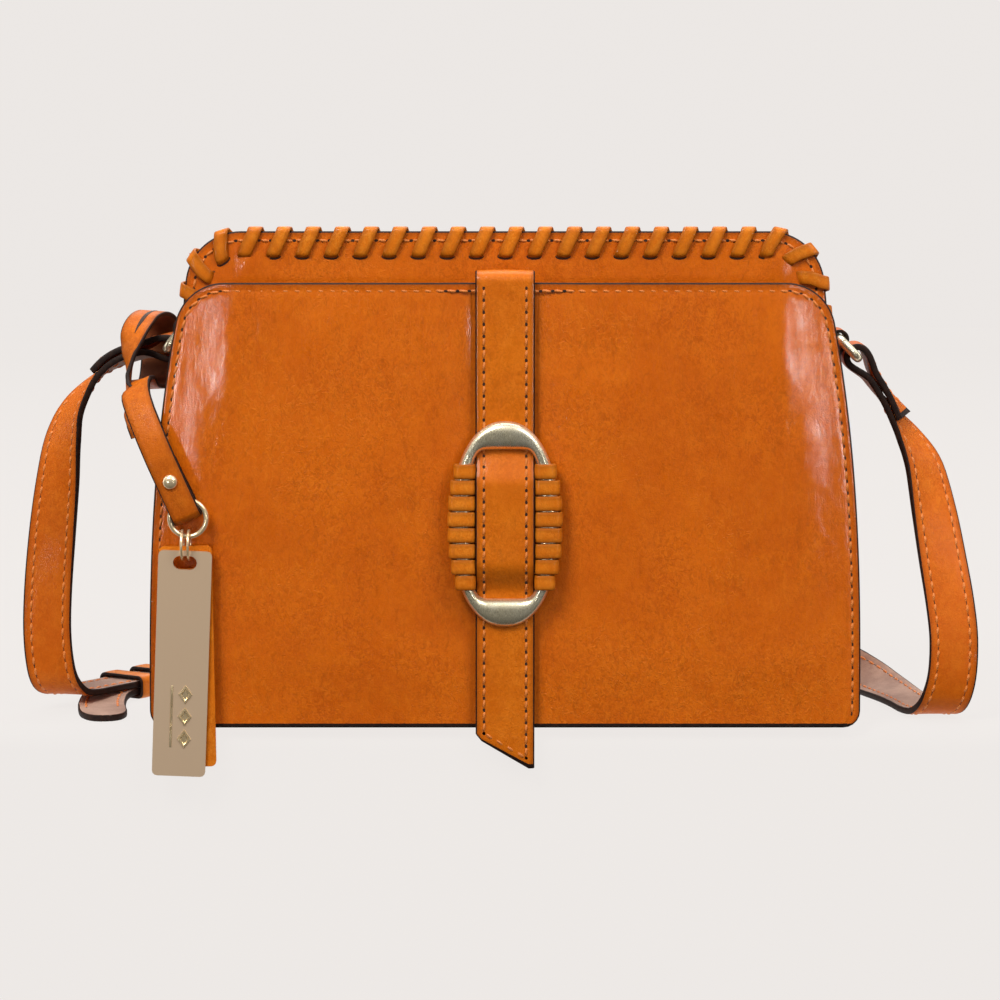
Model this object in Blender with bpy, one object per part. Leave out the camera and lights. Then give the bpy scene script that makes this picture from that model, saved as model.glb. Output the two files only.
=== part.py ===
"""Leather sling bag: laced front wall, slip pocket with ring tab, zip top, shoulder strap and charm.

Metres, +Z up. The origin is the centre of the flat underside. The front faces -Y, +X is the wearer's
right as seen from the front.
"""

import math

import bpy
import bmesh
from mathutils import Matrix, Vector

MM = 0.001
GAP = 0.3 * MM

# Leather and depth of the body
WALL = 1.8 * MM
GUSSET_WALL = 1.4 * MM
HALF_DEPTH = 31.0 * MM
POCKET_DEPTH = 14.0 * MM
FRONT_FACE = -HALF_DEPTH
MAIN_FACE = FRONT_FACE + POCKET_DEPTH

# Outlines: half width at the foot, narrowing by DROP at DROP_AT, height, corner and foot radius
POCKET_SHAPE = dict(half=127.2 * MM, drop=8.6 * MM, drop_at=135 * MM, power=2.7, height=159.4 * MM,
                    corner=18 * MM, foot=6 * MM)
MAIN_SHAPE = dict(half=122.5 * MM, drop=8.2 * MM, drop_at=158 * MM, power=2.0, height=177 * MM,
                  corner=20 * MM, foot=4 * MM)
BACK_SHAPE = dict(MAIN_SHAPE, height=169.5 * MM)
BODY_SHAPE = dict(MAIN_SHAPE, half=119 * MM, height=166 * MM, corner=22 * MM, foot=3 * MM)
POCKET_SEAM = 6 * MM
LINING_TOP = 144 * MM
POCKET_GUSSET_TOP = 147 * MM

# Lace along the rim of the main front wall
LACE_WIDTH = 4.9 * MM
LACE_THICK = 1.0 * MM
LACE_LIFT = 0.5 * MM
LACE_PITCH = 10.35 * MM
LACE_TURNS = 12
LACE_HOLE = 8.9 * MM
HOLE_WIDTH = 6.2 * MM
HOLE_HEIGHT = 3.0 * MM
LACE_BACK = MAIN_FACE + WALL + 2.1 * MM

# Zip
ZIP_TOP = BODY_SHAPE["height"]
ZIP_Y = 7 * MM
ZIP_MOUTH = 8 * MM
ZIP_HALF = 96.5 * MM
TEETH_HALF = 88 * MM
SLIDER_X = -78 * MM

# Closure tab and its ring
TAB_HALF = 10.5 * MM
TAB_THICK = 1.8 * MM
TAB_FACE = -35.2 * MM
TAB_TOP = 164.0 * MM
TAB_SHOULDER = TAB_TOP - 1.9 * MM
TAB_STRAIGHT = 4 * MM
TAB_TIP = -15.3 * MM
TAB_TIP_LEFT = -2.9 * MM
FOLD = Vector((0, -30.1 * MM, TAB_TOP + GAP))
RING_Z = 74.0 * MM
RING_HALF = Vector((19.2 * MM, 0, 36.7 * MM))
RING_HOLE = Vector((12.2 * MM, 0, 26.8 * MM))
RING_BACK = -35.6 * MM
RING_THICK = 3.0 * MM
RING_TURNS = 8
RING_PITCH = 5.66 * MM
SNAP_Z = 20 * MM

# D-rings and strap
STRAP_WIDTH = 17.5 * MM
STRAP_THICK = 2.4 * MM
WIRE = 1.7 * MM
D_BAR = {"right": Vector((121.3, 7, 137.3)) * MM, "left": Vector((-116.8, 7, 141.5)) * MM}
D_OUTER = {"right": Vector((127.8, 7, 130.7)) * MM, "left": Vector((-122.3, 7, 134.0)) * MM}
TAB_LEG = {"right": [(0.4, -4.6), (-1.0, -7.5), (-3.2, -12.5), (-4.6, -17.5)],
           "left": [(0.4, -4.2), (-0.7, -7.5), (-0.8, -12.5)]}
LOOP_RADIUS = 3.9 * MM
PLY_OFFSET = 1.4 * MM
DOUBLED = 30 * MM
BUCKLE_WIRE = 1.1 * MM
BUCKLE_LOOP = BUCKLE_WIRE + 0.5 * MM + STRAP_THICK / 2
BUCKLE_REACH = 9 * MM
STRAP_RUN = Vector((-15.0, -22.0, 0)).normalized()
KEEPER_FIXED = Vector((-132.5, 53.1, 4.4)) * MM
KEEPER_SLIDING = Vector((-142.2, 39.0, 4.4)) * MM
KEEPER_HALF = 4 * MM

# Charm
O_CENTRE = Vector((-112.3 * MM, -37 * MM, 76.2 * MM))
O_RADIUS = 6.45 * MM
JUMP_Z = 66.8 * MM
JUMP_RADIUS = 5.2 * MM
JUMP_X = (-114.4 * MM, -112.1 * MM)
TAG_X = -113.4 * MM
TAG_PIVOT_Z = 61.6 * MM
PLATE_TILT = math.radians(2.3)
BACKING_TILT = math.radians(-0.7)
STRIP_WIDTH = 10.6 * MM
STRIP_THICK = 1.5 * MM

COLOURS = {
    "leather": ((0.52, 0.15, 0.015), 0.35, 0.0),
    "lace_leather": ((0.60, 0.20, 0.03), 0.40, 0.0),
    "lining": ((0.33, 0.22, 0.16), 0.85, 0.0),
    "board": ((0.10, 0.08, 0.07), 0.90, 0.0),
    "tape": ((0.30, 0.12, 0.03), 0.90, 0.0),
    "brass": ((0.72, 0.62, 0.42), 0.30, 1.0),
    "tag_metal": ((0.55, 0.43, 0.33), 0.35, 1.0),
}


# ---------------------------------------------------------------- helpers

def clear_scene():
    for obj in list(bpy.data.objects):
        bpy.data.objects.remove(obj, do_unlink=True)


def material(kind):
    name = "m_" + kind
    found = bpy.data.materials.get(name)
    if found:
        return found
    colour, roughness, metallic = COLOURS[kind]
    made = bpy.data.materials.new(name)
    made.use_nodes = True
    shader = made.node_tree.nodes["Principled BSDF"]
    shader.inputs["Base Color"].default_value = (*colour, 1)
    shader.inputs["Roughness"].default_value = roughness
    shader.inputs["Metallic"].default_value = metallic
    return made


def finish_mesh(name, bm, kind, smooth=False):
    """Turns a bmesh into a named object with outward faces."""
    bmesh.ops.remove_doubles(bm, verts=bm.verts, dist=1e-6)
    bmesh.ops.recalc_face_normals(bm, faces=bm.faces)
    mesh = bpy.data.meshes.new(name)
    bm.to_mesh(mesh)
    bm.free()
    if smooth:
        mesh.shade_smooth()
        mesh.set_sharp_from_angle(angle=math.radians(40))
    mesh.materials.append(material(kind))
    obj = bpy.data.objects.new(name, mesh)
    bpy.context.scene.collection.objects.link(obj)
    return obj


def loft(name, rings, kind, closed=False, smooth=False):
    """Joins equal rings of points into a solid, capped at both ends or closed on itself."""
    bm = bmesh.new()
    rows = [[bm.verts.new(point) for point in ring] for ring in rings]
    count = len(rows)
    size = len(rows[0])
    for i in range(count if closed else count - 1):
        a, b = rows[i], rows[(i + 1) % count]
        for j in range(size):
            k = (j + 1) % size
            bm.faces.new((a[j], a[k], b[k], b[j]))
    if not closed:
        bm.faces.new(rows[0])
        bm.faces.new(list(reversed(rows[-1])))
    return finish_mesh(name, bm, kind, smooth)


def prism(name, outline, y0, y1, kind):
    """Extrudes an (x, z) outline from y0 to y1."""
    return loft(name, [[Vector((x, y, z)) for x, z in outline] for y in (y0, y1)], kind)


def box(name, low, high, kind):
    outline = [(low[0], low[2]), (high[0], low[2]), (high[0], high[2]), (low[0], high[2])]
    return prism(name, outline, low[1], high[1], kind)


def cut(target, cutter):
    """Subtracts a hidden cutter from the target."""
    cutter.hide_render = True
    cutter.display_type = "WIRE"
    modifier = target.modifiers.new("cut", "BOOLEAN")
    modifier.operation = "DIFFERENCE"
    modifier.object = cutter
    modifier.solver = "EXACT"


def set_origin(obj, point):
    """Puts the object's origin on its joint axis without moving its surface."""
    obj.data.transform(Matrix.Translation(-Vector(point)))
    obj.location = point


def arc(centre, radius, start, end, steps):
    """Points (u, v) on an arc, angles in degrees, both ends included."""
    points = []
    for i in range(steps + 1):
        angle = math.radians(start + (end - start) * i / steps)
        points.append((centre[0] + radius * math.cos(angle), centre[1] + radius * math.sin(angle)))
    return points


def spline(rows, steps):
    """Catmull-Rom samples through rows of any length, both ends included."""
    samples = []
    last = len(rows) - 1
    for i in range(last):
        a, b, c, d = rows[max(i - 1, 0)], rows[i], rows[i + 1], rows[min(i + 2, last)]
        for k in range(steps):
            t = k / steps
            samples.append([
                0.5 * (2 * q + (r - p) * t + (2 * p - 5 * q + 4 * r - s) * t * t
                       + (3 * q - p - 3 * r + s) * t ** 3)
                for p, q, r, s in zip(a, b, c, d)])
    samples.append(list(rows[last]))
    return samples


def smoothstep(value):
    value = min(max(value, 0.0), 1.0)
    return value * value * (3 - 2 * value)


# ---------------------------------------------------------------- outlines

def half_width(shape, z):
    return shape["half"] - shape["drop"] * (max(z, 0) / shape["drop_at"]) ** shape["power"]


def right_side(shape):
    """Right half of a panel outline, from the foot corner up and round to the top edge."""
    foot, corner, height = shape["foot"], shape["corner"], shape["height"]
    points = arc((shape["half"] - foot, foot), foot, -90, 0, 4)
    slope = shape["drop"] * shape["power"] / shape["drop_at"] \
        * ((height - corner) / shape["drop_at"]) ** (shape["power"] - 1)
    lean = math.atan(slope)
    shoulder = height - corner + corner * math.sin(lean)
    for i in range(1, 9):
        z = foot + (shoulder - foot) * i / 8
        points.append((half_width(shape, z), z))
    centre = (half_width(shape, shoulder) - corner * math.cos(lean), height - corner)
    points += arc(centre, corner, math.degrees(lean), 90, 8)[1:]
    return points


def below(points, height):
    """The stretch of a rising path that lies below a height, ending exactly on it."""
    for i, (x, z) in enumerate(points):
        if z > height:
            x0, z0 = points[i - 1]
            return points[:i] + [(x0 + (x - x0) * (height - z0) / (z - z0), height)]
    return points


def outline(shape):
    side = right_side(shape)
    return side + [(-x, z) for x, z in reversed(side)]


def offset_path(points, distance):
    """Moves an open path towards the inside of the panel, which lies to its left."""
    moved = []
    for i, (x, z) in enumerate(points):
        before, after = points[max(i - 1, 0)], points[min(i + 1, len(points) - 1)]
        dx, dz = after[0] - before[0], after[1] - before[1]
        length = math.hypot(dx, dz)
        moved.append((x - dz / length * distance, z + dx / length * distance))
    return moved


def u_strip(name, side, thickness, y0, y1, kind):
    """A strip that runs down the left side, across the foot and up the right side."""
    path = [(-x, z) for x, z in reversed(side)] + side
    inner = offset_path(path, thickness)
    return prism(name, path + list(reversed(inner)), y0, y1, kind)


# ---------------------------------------------------------------- panels and gussets

def make_pocket():
    prism("front_pocket_panel", outline(POCKET_SHAPE), FRONT_FACE, FRONT_FACE + WALL, "leather")
    shape = dict(POCKET_SHAPE, half=POCKET_SHAPE["half"] - POCKET_SEAM, foot=3 * MM)
    side = below(right_side(shape), POCKET_GUSSET_TOP)
    u_strip("pocket_gusset", side, GUSSET_WALL, FRONT_FACE + WALL + GAP, MAIN_FACE - GAP, "leather")


def rim_point(distance):
    """Point on the rim of the main front wall, its inward normal and the direction along it.

    The distance runs from the centre of the rim, measured halfway down the lace, so that the lace
    keeps its spacing round the corners."""
    side = [point for point in reversed(right_side(MAIN_SHAPE)) if point[1] > MAIN_SHAPE["height"] / 2]
    rim = [(0.0, MAIN_SHAPE["height"])] + side
    halfway = offset_path(rim, -LACE_HOLE / 2)
    left = abs(distance)
    for i in range(len(rim) - 1):
        (x0, z0), (x1, z1) = halfway[i], halfway[i + 1]
        length = math.hypot(x1 - x0, z1 - z0)
        if left <= length:
            break
        left -= length
    t = left / length
    (x0, z0), (x1, z1) = rim[i], rim[i + 1]
    sign = 1 if distance >= 0 else -1
    point = Vector(((x0 + (x1 - x0) * t) * sign, 0, z0 + (z1 - z0) * t))
    (u0, v0), (u1, v1) = halfway[i], halfway[i + 1]
    inward = Vector(((u0 + (u1 - u0) * t) * sign, 0, v0 + (v1 - v0) * t)) - point
    inward.normalize()
    return point, inward, Vector((-inward.z, 0, inward.x))


def make_main_panel():
    panel = prism("main_front_panel", outline(MAIN_SHAPE), MAIN_FACE, MAIN_FACE + WALL, "leather")
    bm = bmesh.new()
    for turn in range(-LACE_TURNS, LACE_TURNS + 1):
        point, inward, along = rim_point(turn * LACE_PITCH)
        rows = []
        for y in (MAIN_FACE - 2 * MM, MAIN_FACE + WALL + 2 * MM):
            centre = point + inward * LACE_HOLE + Vector((0, y, 0))
            rows.append([bm.verts.new(centre + along * HOLE_WIDTH / 2 * a + inward * HOLE_HEIGHT / 2 * b)
                         for a, b in ((-1, -1), (1, -1), (1, 1), (-1, 1))])
        bm.faces.new(rows[0])
        bm.faces.new(list(reversed(rows[1])))
        for j in range(4):
            k = (j + 1) % 4
            bm.faces.new((rows[0][j], rows[0][k], rows[1][k], rows[1][j]))
    cut(panel, finish_mesh("lace_hole_cutter", bm, "leather"))


def lace_stations():
    """Where the lace runs in each turn: shift along the rim, depth below it, place across the wall
    and the outer normal as (across, outward)."""
    out = LACE_LIFT + LACE_THICK / 2
    front = MAIN_FACE - out
    back = MAIN_FACE + WALL + out
    middle = MAIN_FACE + WALL / 2
    return [(0.0, LACE_HOLE, middle, (0, -1)), (0.0, 7.9 * MM, front, (-1, -0.4)),
            (1.6 * MM, 4.6 * MM, front, (-1, 0)), (3.4 * MM, 0.8 * MM, front, (-1, 0.1)),
            (3.9 * MM, -0.8 * MM, front + 0.2 * MM, (-1, 1)), (4.2 * MM, -out, middle, (0, 1)),
            (4.5 * MM, -0.8 * MM, back - 0.2 * MM, (1, 1)), (5.0 * MM, 0.8 * MM, back, (1, 0.1)),
            (7.4 * MM, 4.6 * MM, back, (1, 0)), (10.0 * MM, 7.9 * MM, back, (1, -0.4))]


def make_lace():
    centres, normals = [], []
    stations = lace_stations()
    runs = [(-LACE_TURNS - 1, stations[8:])]
    runs += [(turn, stations) for turn in range(-LACE_TURNS, LACE_TURNS)]
    runs += [(LACE_TURNS, stations[:8])]
    for turn, part in runs:
        for shift, depth, y, normal in part:
            point, inward, _ = rim_point(turn * LACE_PITCH + shift)
            centres.append(point + inward * depth + Vector((0, y, 0)))
            normals.append(Vector((0, normal[0], 0)) - inward * normal[1])
    rings = []
    for i, (centre, normal) in enumerate(zip(centres, normals)):
        tangent = centres[min(i + 1, len(centres) - 1)] - centres[max(i - 1, 0)]
        wide = normal.cross(tangent).normalized() * LACE_WIDTH / 2
        thick = normal.normalized() * LACE_THICK / 2
        rings.append([centre + wide * a + thick * b for a, b in ((-1, -1), (1, -1), (1, 1), (-1, 1))])
    loft("whip_lace", rings, "lace_leather")


def make_body():
    side = [point for point in right_side(BODY_SHAPE) if point[0] > ZIP_HALF or point[1] < ZIP_TOP / 2]
    front, back = MAIN_FACE + WALL + GAP, HALF_DEPTH - WALL - GAP
    gusset = u_strip("main_gusset", side, GUSSET_WALL, front, back, "leather")
    cut(gusset, box("gusset_notch_cutter", (-0.15, front - MM, 148 * MM), (0.15, LACE_BACK, 0.2), "leather"))
    prism("back_panel", outline(BACK_SHAPE), HALF_DEPTH - WALL, HALF_DEPTH, "leather")
    box("base_board", (-112 * MM, front + 0.5 * MM, GUSSET_WALL + GAP),
        (112 * MM, back - 0.5 * MM, GUSSET_WALL + GAP + 1.4 * MM), "board")

    shape = dict(BODY_SHAPE, half=BODY_SHAPE["half"] - GUSSET_WALL - 0.6 * MM)
    walls = [point for point in below(right_side(shape), LINING_TOP) if point[1] > 3.6 * MM]
    path = [(walls[0][0], 3.5 * MM)] + walls
    lining = prism("lining", path + [(-x, z) for x, z in reversed(path)],
                   front + 0.4 * MM, back - 0.4 * MM, "lining")
    hollow = [(x - 1.2 * MM, z) for x, z in path[1:]]
    hollow = [(hollow[0][0], 4.6 * MM)] + hollow + [(hollow[-1][0], 180 * MM)]
    cut(lining, prism("lining_cutter", hollow + [(-x, z) for x, z in reversed(hollow)],
                      front + 1.6 * MM, back - 1.6 * MM, "lining"))
    pocket = arc((62 * MM, 48 * MM), 8 * MM, -90, 0, 4) + [(70 * MM, 118 * MM)]
    prism("inner_pocket", pocket + [(-x, z) for x, z in reversed(pocket)],
          back - 3.4 * MM, back - 2.0 * MM, "lining")


# ---------------------------------------------------------------- zip

def make_zip():
    mouth = ZIP_MOUTH
    strip_low = ZIP_TOP - GUSSET_WALL
    box("zip_strip_front", (-ZIP_HALF, LACE_BACK, strip_low), (ZIP_HALF, ZIP_Y - mouth, ZIP_TOP), "leather")
    box("zip_strip_back", (-ZIP_HALF, ZIP_Y + mouth, strip_low),
        (ZIP_HALF, HALF_DEPTH - WALL - GAP, ZIP_TOP), "leather")
    tape_low, tape_high = strip_low - 1.3 * MM, strip_low - GAP
    teeth_in, teeth_out = 0.15 * MM, 1.1 * MM
    for name, sign in (("front", -1), ("back", 1)):
        ends = sorted((ZIP_Y + sign * (teeth_out + GAP), ZIP_Y + sign * (mouth + 4 * MM)))
        box("zip_tape_" + name, (-ZIP_HALF, ends[0], tape_low), (ZIP_HALF, ends[1], tape_high), "tape")
        ends = sorted((ZIP_Y + sign * teeth_in, ZIP_Y + sign * teeth_out))
        box("zip_teeth_" + name, (-TEETH_HALF, ends[0], tape_low - 0.4 * MM),
            (TEETH_HALF, ends[1], tape_high + 0.4 * MM), "brass")
    for name, sign in (("left", -1), ("right", 1)):
        ends = sorted((sign * (TEETH_HALF + GAP), sign * (TEETH_HALF + 3 * MM)))
        box("zip_stop_" + name, (ends[0], ZIP_Y - teeth_out, tape_low - 0.4 * MM),
            (ends[1], ZIP_Y + teeth_out, tape_high + 0.8 * MM), "brass")

    floor = tape_high + 0.4 * MM + GAP
    top = floor + 1.3 * MM
    half_length, half_wide = 4.8 * MM, 3.6 * MM
    plate = [(-half_length, -half_wide * 0.6), (0, -half_wide), (half_length, -half_wide),
             (half_length, half_wide), (0, half_wide), (-half_length, half_wide * 0.6)]
    rows = [[Vector((SLIDER_X + x, ZIP_Y + y, z)) for x, y in plate] for z in (floor, top)]
    slider = loft("zip_slider", rows, "brass")
    bridge = [(-3.2 * MM, top - 0.2 * MM), (-3.2 * MM, top + 2.2 * MM), (3.2 * MM, top + 2.2 * MM),
              (3.2 * MM, top - 0.2 * MM), (2.2 * MM, top - 0.2 * MM), (2.2 * MM, top + 1.4 * MM),
              (-2.2 * MM, top + 1.4 * MM), (-2.2 * MM, top - 0.2 * MM)]
    arch = prism("slider_bridge_guide", [(SLIDER_X + x, z) for x, z in bridge],
                 ZIP_Y - 0.8 * MM, ZIP_Y + 0.8 * MM, "brass")
    arch.hide_render = True
    arch.display_type = "WIRE"
    union = slider.modifiers.new("bridge", "BOOLEAN")
    union.operation = "UNION"
    union.object = arch
    union.solver = "EXACT"

    # The puller is a frame round the bridge, lying flat towards the end stop.
    bar_x, low, high = SLIDER_X + 1.3 * MM, top + 0.35 * MM, top + 1.05 * MM
    frame = [(bar_x + 0.4 * MM, -2.2 * MM), (bar_x + 0.4 * MM, 2.2 * MM), (bar_x - 9 * MM, 2.6 * MM),
             (bar_x - 11 * MM, 1.4 * MM), (bar_x - 11 * MM, -1.4 * MM), (bar_x - 9 * MM, -2.6 * MM)]
    puller = loft("zip_puller", [[Vector((x, ZIP_Y + y, z)) for x, y in frame] for z in (low, high)], "brass")
    cut(puller, box("puller_slot_cutter", (bar_x - 6 * MM, ZIP_Y - 1.2 * MM, low - MM),
                    (bar_x - 0.4 * MM, ZIP_Y + 1.2 * MM, high + MM), "brass"))
    pull = [(bar_x - 11.4 * MM, ZIP_Y - 2.2 * MM), (bar_x - 11.4 * MM, ZIP_Y + 2.2 * MM),
            (bar_x - 16 * MM, ZIP_Y + 4 * MM), (bar_x - 34 * MM, ZIP_Y + 4 * MM),
            (bar_x - 38 * MM, ZIP_Y), (bar_x - 34 * MM, ZIP_Y - 4 * MM), (bar_x - 16 * MM, ZIP_Y - 4 * MM)]
    leather = loft("zip_pull_leather", [[Vector((x, y, z)) for x, y in pull]
                                        for z in (low - 0.2 * MM, high + 0.8 * MM)], "lace_leather")
    pivot = Vector((bar_x, ZIP_Y, (low + high) / 2))
    for obj in (puller, leather):
        set_origin(obj, pivot)
    set_origin(slider, (SLIDER_X, ZIP_Y, floor))


# ---------------------------------------------------------------- closure tab

def tab_face(z):
    """The tab bulges forward where it shows inside the ring."""
    rise = smoothstep((z - 49 * MM) / (12 * MM)) * smoothstep((100 * MM - z) / (12 * MM))
    return TAB_FACE - 4.6 * MM * rise


def tab_section(low_left, low_right, y, depth):
    """Four corners of the tab, seen from above, at a height for each side."""
    return [Vector((-TAB_HALF, y, low_left)), Vector((TAB_HALF, y, low_right)),
            Vector((TAB_HALF, y + depth, low_right)), Vector((-TAB_HALF, y + depth, low_left))]


def make_tab():
    rings = [tab_section(TAB_TIP_LEFT, TAB_TIP, TAB_FACE, TAB_THICK)]
    steps = 37
    for i in range(steps + 1):
        z = TAB_STRAIGHT + (TAB_SHOULDER - TAB_STRAIGHT) * i / steps
        rings.append(tab_section(z, z, tab_face(z), TAB_THICK))
    rings.append(tab_section(TAB_TOP, TAB_TOP, TAB_FACE, FOLD.y - 0.2 * MM - TAB_FACE))
    tab = loft("closure_tab", rings, "lace_leather")

    inner = FRONT_FACE + WALL + GAP
    anchor = [(FOLD.y + 0.2 * MM, TAB_TOP), (FOLD.y + 0.2 * MM, TAB_TOP - TAB_THICK),
              (inner, TAB_TOP - TAB_THICK), (inner, 130 * MM), (inner + TAB_THICK, 130 * MM),
              (inner + TAB_THICK, TAB_TOP)]
    loft("tab_anchor", [[Vector((x, y, z)) for y, z in anchor] for x in (-TAB_HALF, TAB_HALF)],
         "lace_leather")

    front = RING_BACK - RING_THICK
    steps = 40
    outer, hole = [], []
    for i in range(steps):
        angle = math.tau * i / steps
        c, s = math.cos(angle), math.sin(angle)
        outer.append((RING_HALF.x * c, RING_Z + RING_HALF.z * s))
        squareness = 0.2
        hole.append((RING_HOLE.x * math.copysign(abs(c) ** squareness, c),
                     RING_Z + RING_HOLE.z * math.copysign(abs(s) ** squareness, s)))
    profile = ((outer, RING_BACK), (outer, front), (hole, front), (hole, RING_BACK))
    rings = [[Vector((ring[i][0], y, ring[i][1])) for ring, y in profile] for i in range(steps)]
    ring = loft("oval_ring", rings, "brass", closed=True)

    laces = [make_ring_lace("ring_lace_left", -1), make_ring_lace("ring_lace_right", 1)]
    snap_y = TAB_FACE + TAB_THICK + GAP
    cap = disc("snap_cap", 7 * MM, snap_y, snap_y + 0.8 * MM)
    disc("snap_socket", 7 * MM, FRONT_FACE - GAP - 0.7 * MM, FRONT_FACE - GAP)
    for obj in [tab, ring, cap] + laces:
        set_origin(obj, FOLD)


def disc(name, radius, y0, y1):
    circle = [(radius * math.cos(math.tau * i / 20), SNAP_Z + radius * math.sin(math.tau * i / 20))
              for i in range(20)]
    return prism(name, circle, y0, y1, "brass")


def make_ring_lace(name, sign):
    """A lace wound round one side bar of the ring, level in front and stepping down behind."""
    clear = GAP + LACE_THICK / 2
    front, back = RING_BACK - RING_THICK - clear, RING_BACK + clear
    inner_x = RING_HOLE.x - clear
    top = RING_Z + RING_PITCH * (RING_TURNS - 1) / 2
    half_thick, half_tall = LACE_THICK * 0.45, LACE_WIDTH * 0.46
    rings = []
    for turn in range(RING_TURNS):
        level = top - turn * RING_PITCH
        widest = max(abs(level - RING_Z) - half_tall, 0) / RING_HALF.z
        outer_x = RING_HALF.x * math.sqrt(1 - widest ** 2) + clear
        corners = [(inner_x, front, level, -1, -1), (outer_x, front, level, 1, -1),
                   (outer_x, back, level, 1, 1), (inner_x, back, level - RING_PITCH, -1, 1)]
        for x, y, z, out_x, out_y in corners[:3 if turn == RING_TURNS - 1 else 4]:
            rings.append([Vector(((x + out_x * half_thick * a) * sign, y + out_y * half_thick * a,
                                  z + half_tall * b)) for a, b in ((-1, -1), (1, -1), (1, 1), (-1, 1))])
    return loft(name, rings, "lace_leather")


# ---------------------------------------------------------------- rings, strap and buckle

def wire_loop(name, path, normal, radius, sides, kind="brass"):
    """A round wire bent along a closed flat path."""
    rings = []
    count = len(path)
    for i, point in enumerate(path):
        tangent = (path[(i + 1) % count] - path[i - 1]).normalized()
        across = normal.cross(tangent).normalized()
        rings.append([point + (across * math.cos(math.tau * j / sides)
                               + normal * math.sin(math.tau * j / sides)) * radius for j in range(sides)])
    return loft(name, rings, kind, closed=True, smooth=True)


def rounded_loop(centre, u, v, half_u, half_v, radius, steps=3):
    """Closed path of a rounded rectangle in the plane of u and v."""
    path = []
    for su, sv, start in ((1, 1, 0), (-1, 1, 90), (-1, -1, 180), (1, -1, 270)):
        corner = ((half_u - radius) * su, (half_v - radius) * sv)
        for a, b in arc(corner, radius, start, start + 90, steps):
            path.append(centre + u * a + v * b)
    return path


def side_name(sign):
    return "right" if sign > 0 else "left"


def mirror_x(vector, sign):
    return Vector((vector.x * sign, vector.y, vector.z))


def make_d_ring(sign):
    side = side_name(sign)
    bar, outer = D_BAR[side], D_OUTER[side]
    across = (outer - bar).normalized()
    along = Vector((0, 1, 0))
    half_along = STRAP_WIDTH / 2 + 0.8 * MM + WIRE
    path = rounded_loop((bar + outer) / 2, along, across, half_along, (outer - bar).length / 2, 2.4 * MM)
    ring = wire_loop("d_ring_" + side, path, along.cross(across), WIRE, 8)
    set_origin(ring, bar)

    # Leather tab: up the gusset, round the inner bar and back down outside.
    radius = WIRE + 0.5 * MM + 0.7 * MM
    bar_x, bar_z = abs(bar.x), bar.z

    def against_body(z):
        return half_width(BODY_SHAPE, z) + GAP + 0.9 * MM

    rows = [(against_body(z), z) for z in (104 * MM, 114 * MM, 124 * MM)]
    rows += [(max(bar_x - 5 * MM, against_body(bar_z - 7.5 * MM)), bar_z - 7.5 * MM),
             (bar_x - radius - 0.1 * MM, bar_z - 1.5 * MM)]
    rows += arc((bar_x, bar_z), radius, 165, -30, 7)
    rows += [(bar_x + x * MM, bar_z + z * MM) for x, z in TAB_LEG[side]]
    rows.append((against_body(116 * MM) + 2.0 * MM, 116 * MM))
    rings = []
    for i, (x, z) in enumerate(rows):
        x0, z0 = rows[max(i - 1, 0)]
        x1, z1 = rows[min(i + 1, len(rows) - 1)]
        tangent = Vector((x1 - x0, 0, z1 - z0)).normalized()
        thick = Vector((-tangent.z, 0, tangent.x)) * 0.6 * MM
        wide = Vector((0, 7.5 * MM, 0))
        centre = Vector((x, ZIP_Y, z))
        rings.append([mirror_x(centre + wide * a + thick * b, sign)
                      for a, b in ((-1, -1), (1, -1), (1, 1), (-1, 1))])
    loft("ring_tab_" + side_name(sign), rings, "leather")


def frames(rows, steps):
    """Positions, width directions and outer normals along a strap.

    A row is x, y, z in mm and the width direction."""
    samples = spline(rows, steps)
    places = [Vector(row[:3]) * MM for row in samples]
    result = []
    for i, place in enumerate(places):
        tangent = (places[min(i + 1, len(places) - 1)] - places[max(i - 1, 0)]).normalized()
        wide = Vector(samples[i][3:6])
        wide = (wide - tangent * wide.dot(tangent)).normalized()
        result.append((place, wide, tangent.cross(wide)))
    return result


def doubled_end(line, side, radius, fade=10 * MM):
    """Splits the first stretch of a strap into two plies joined by a loop round a bar.

    Returns the loose ply and loop, and the strap itself moved off its centre line. The side is +1
    when the loose ply lies on the outer face."""
    loose, main, travelled = [], [], 0.0
    for i, (place, wide, normal) in enumerate(line):
        if i:
            travelled += (place - line[i - 1][0]).length
        offset = PLY_OFFSET + (radius - PLY_OFFSET) * (1 - smoothstep(travelled / fade))
        settle = 1 - smoothstep((travelled - DOUBLED - 2 * MM) / (18 * MM))
        if travelled <= DOUBLED:
            loose.append((place + normal * offset * side, wide, normal * side))
        main.append((place - normal * offset * settle * side, wide, normal * -side))
    place, wide, normal = line[0]
    back = (line[0][0] - line[1][0]).normalized()
    bend = []
    for step in range(1, 6):
        angle = math.pi * step / 6
        away = normal * side * math.cos(angle) + back * math.sin(angle)
        bend.append((place + away * radius, wide, away))
    return list(reversed(loose)) + bend, main


def band(name, line, width, thickness, kind, taper=None):
    rings = []
    for i, (place, wide, _) in enumerate(line):
        before, after = line[max(i - 1, 0)][0], line[min(i + 1, len(line) - 1)][0]
        tangent = (after - before).normalized()
        wide = (wide - tangent * wide.dot(tangent)).normalized()
        normal = tangent.cross(wide)
        scale = taper[i] if taper else 1.0
        rings.append([place + wide * width / 2 * scale * a + normal * thickness / 2 * b
                      for a, b in ((-1, -1), (1, -1), (1, 1), (-1, 1))])
    return loft(name, rings, kind)


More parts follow.
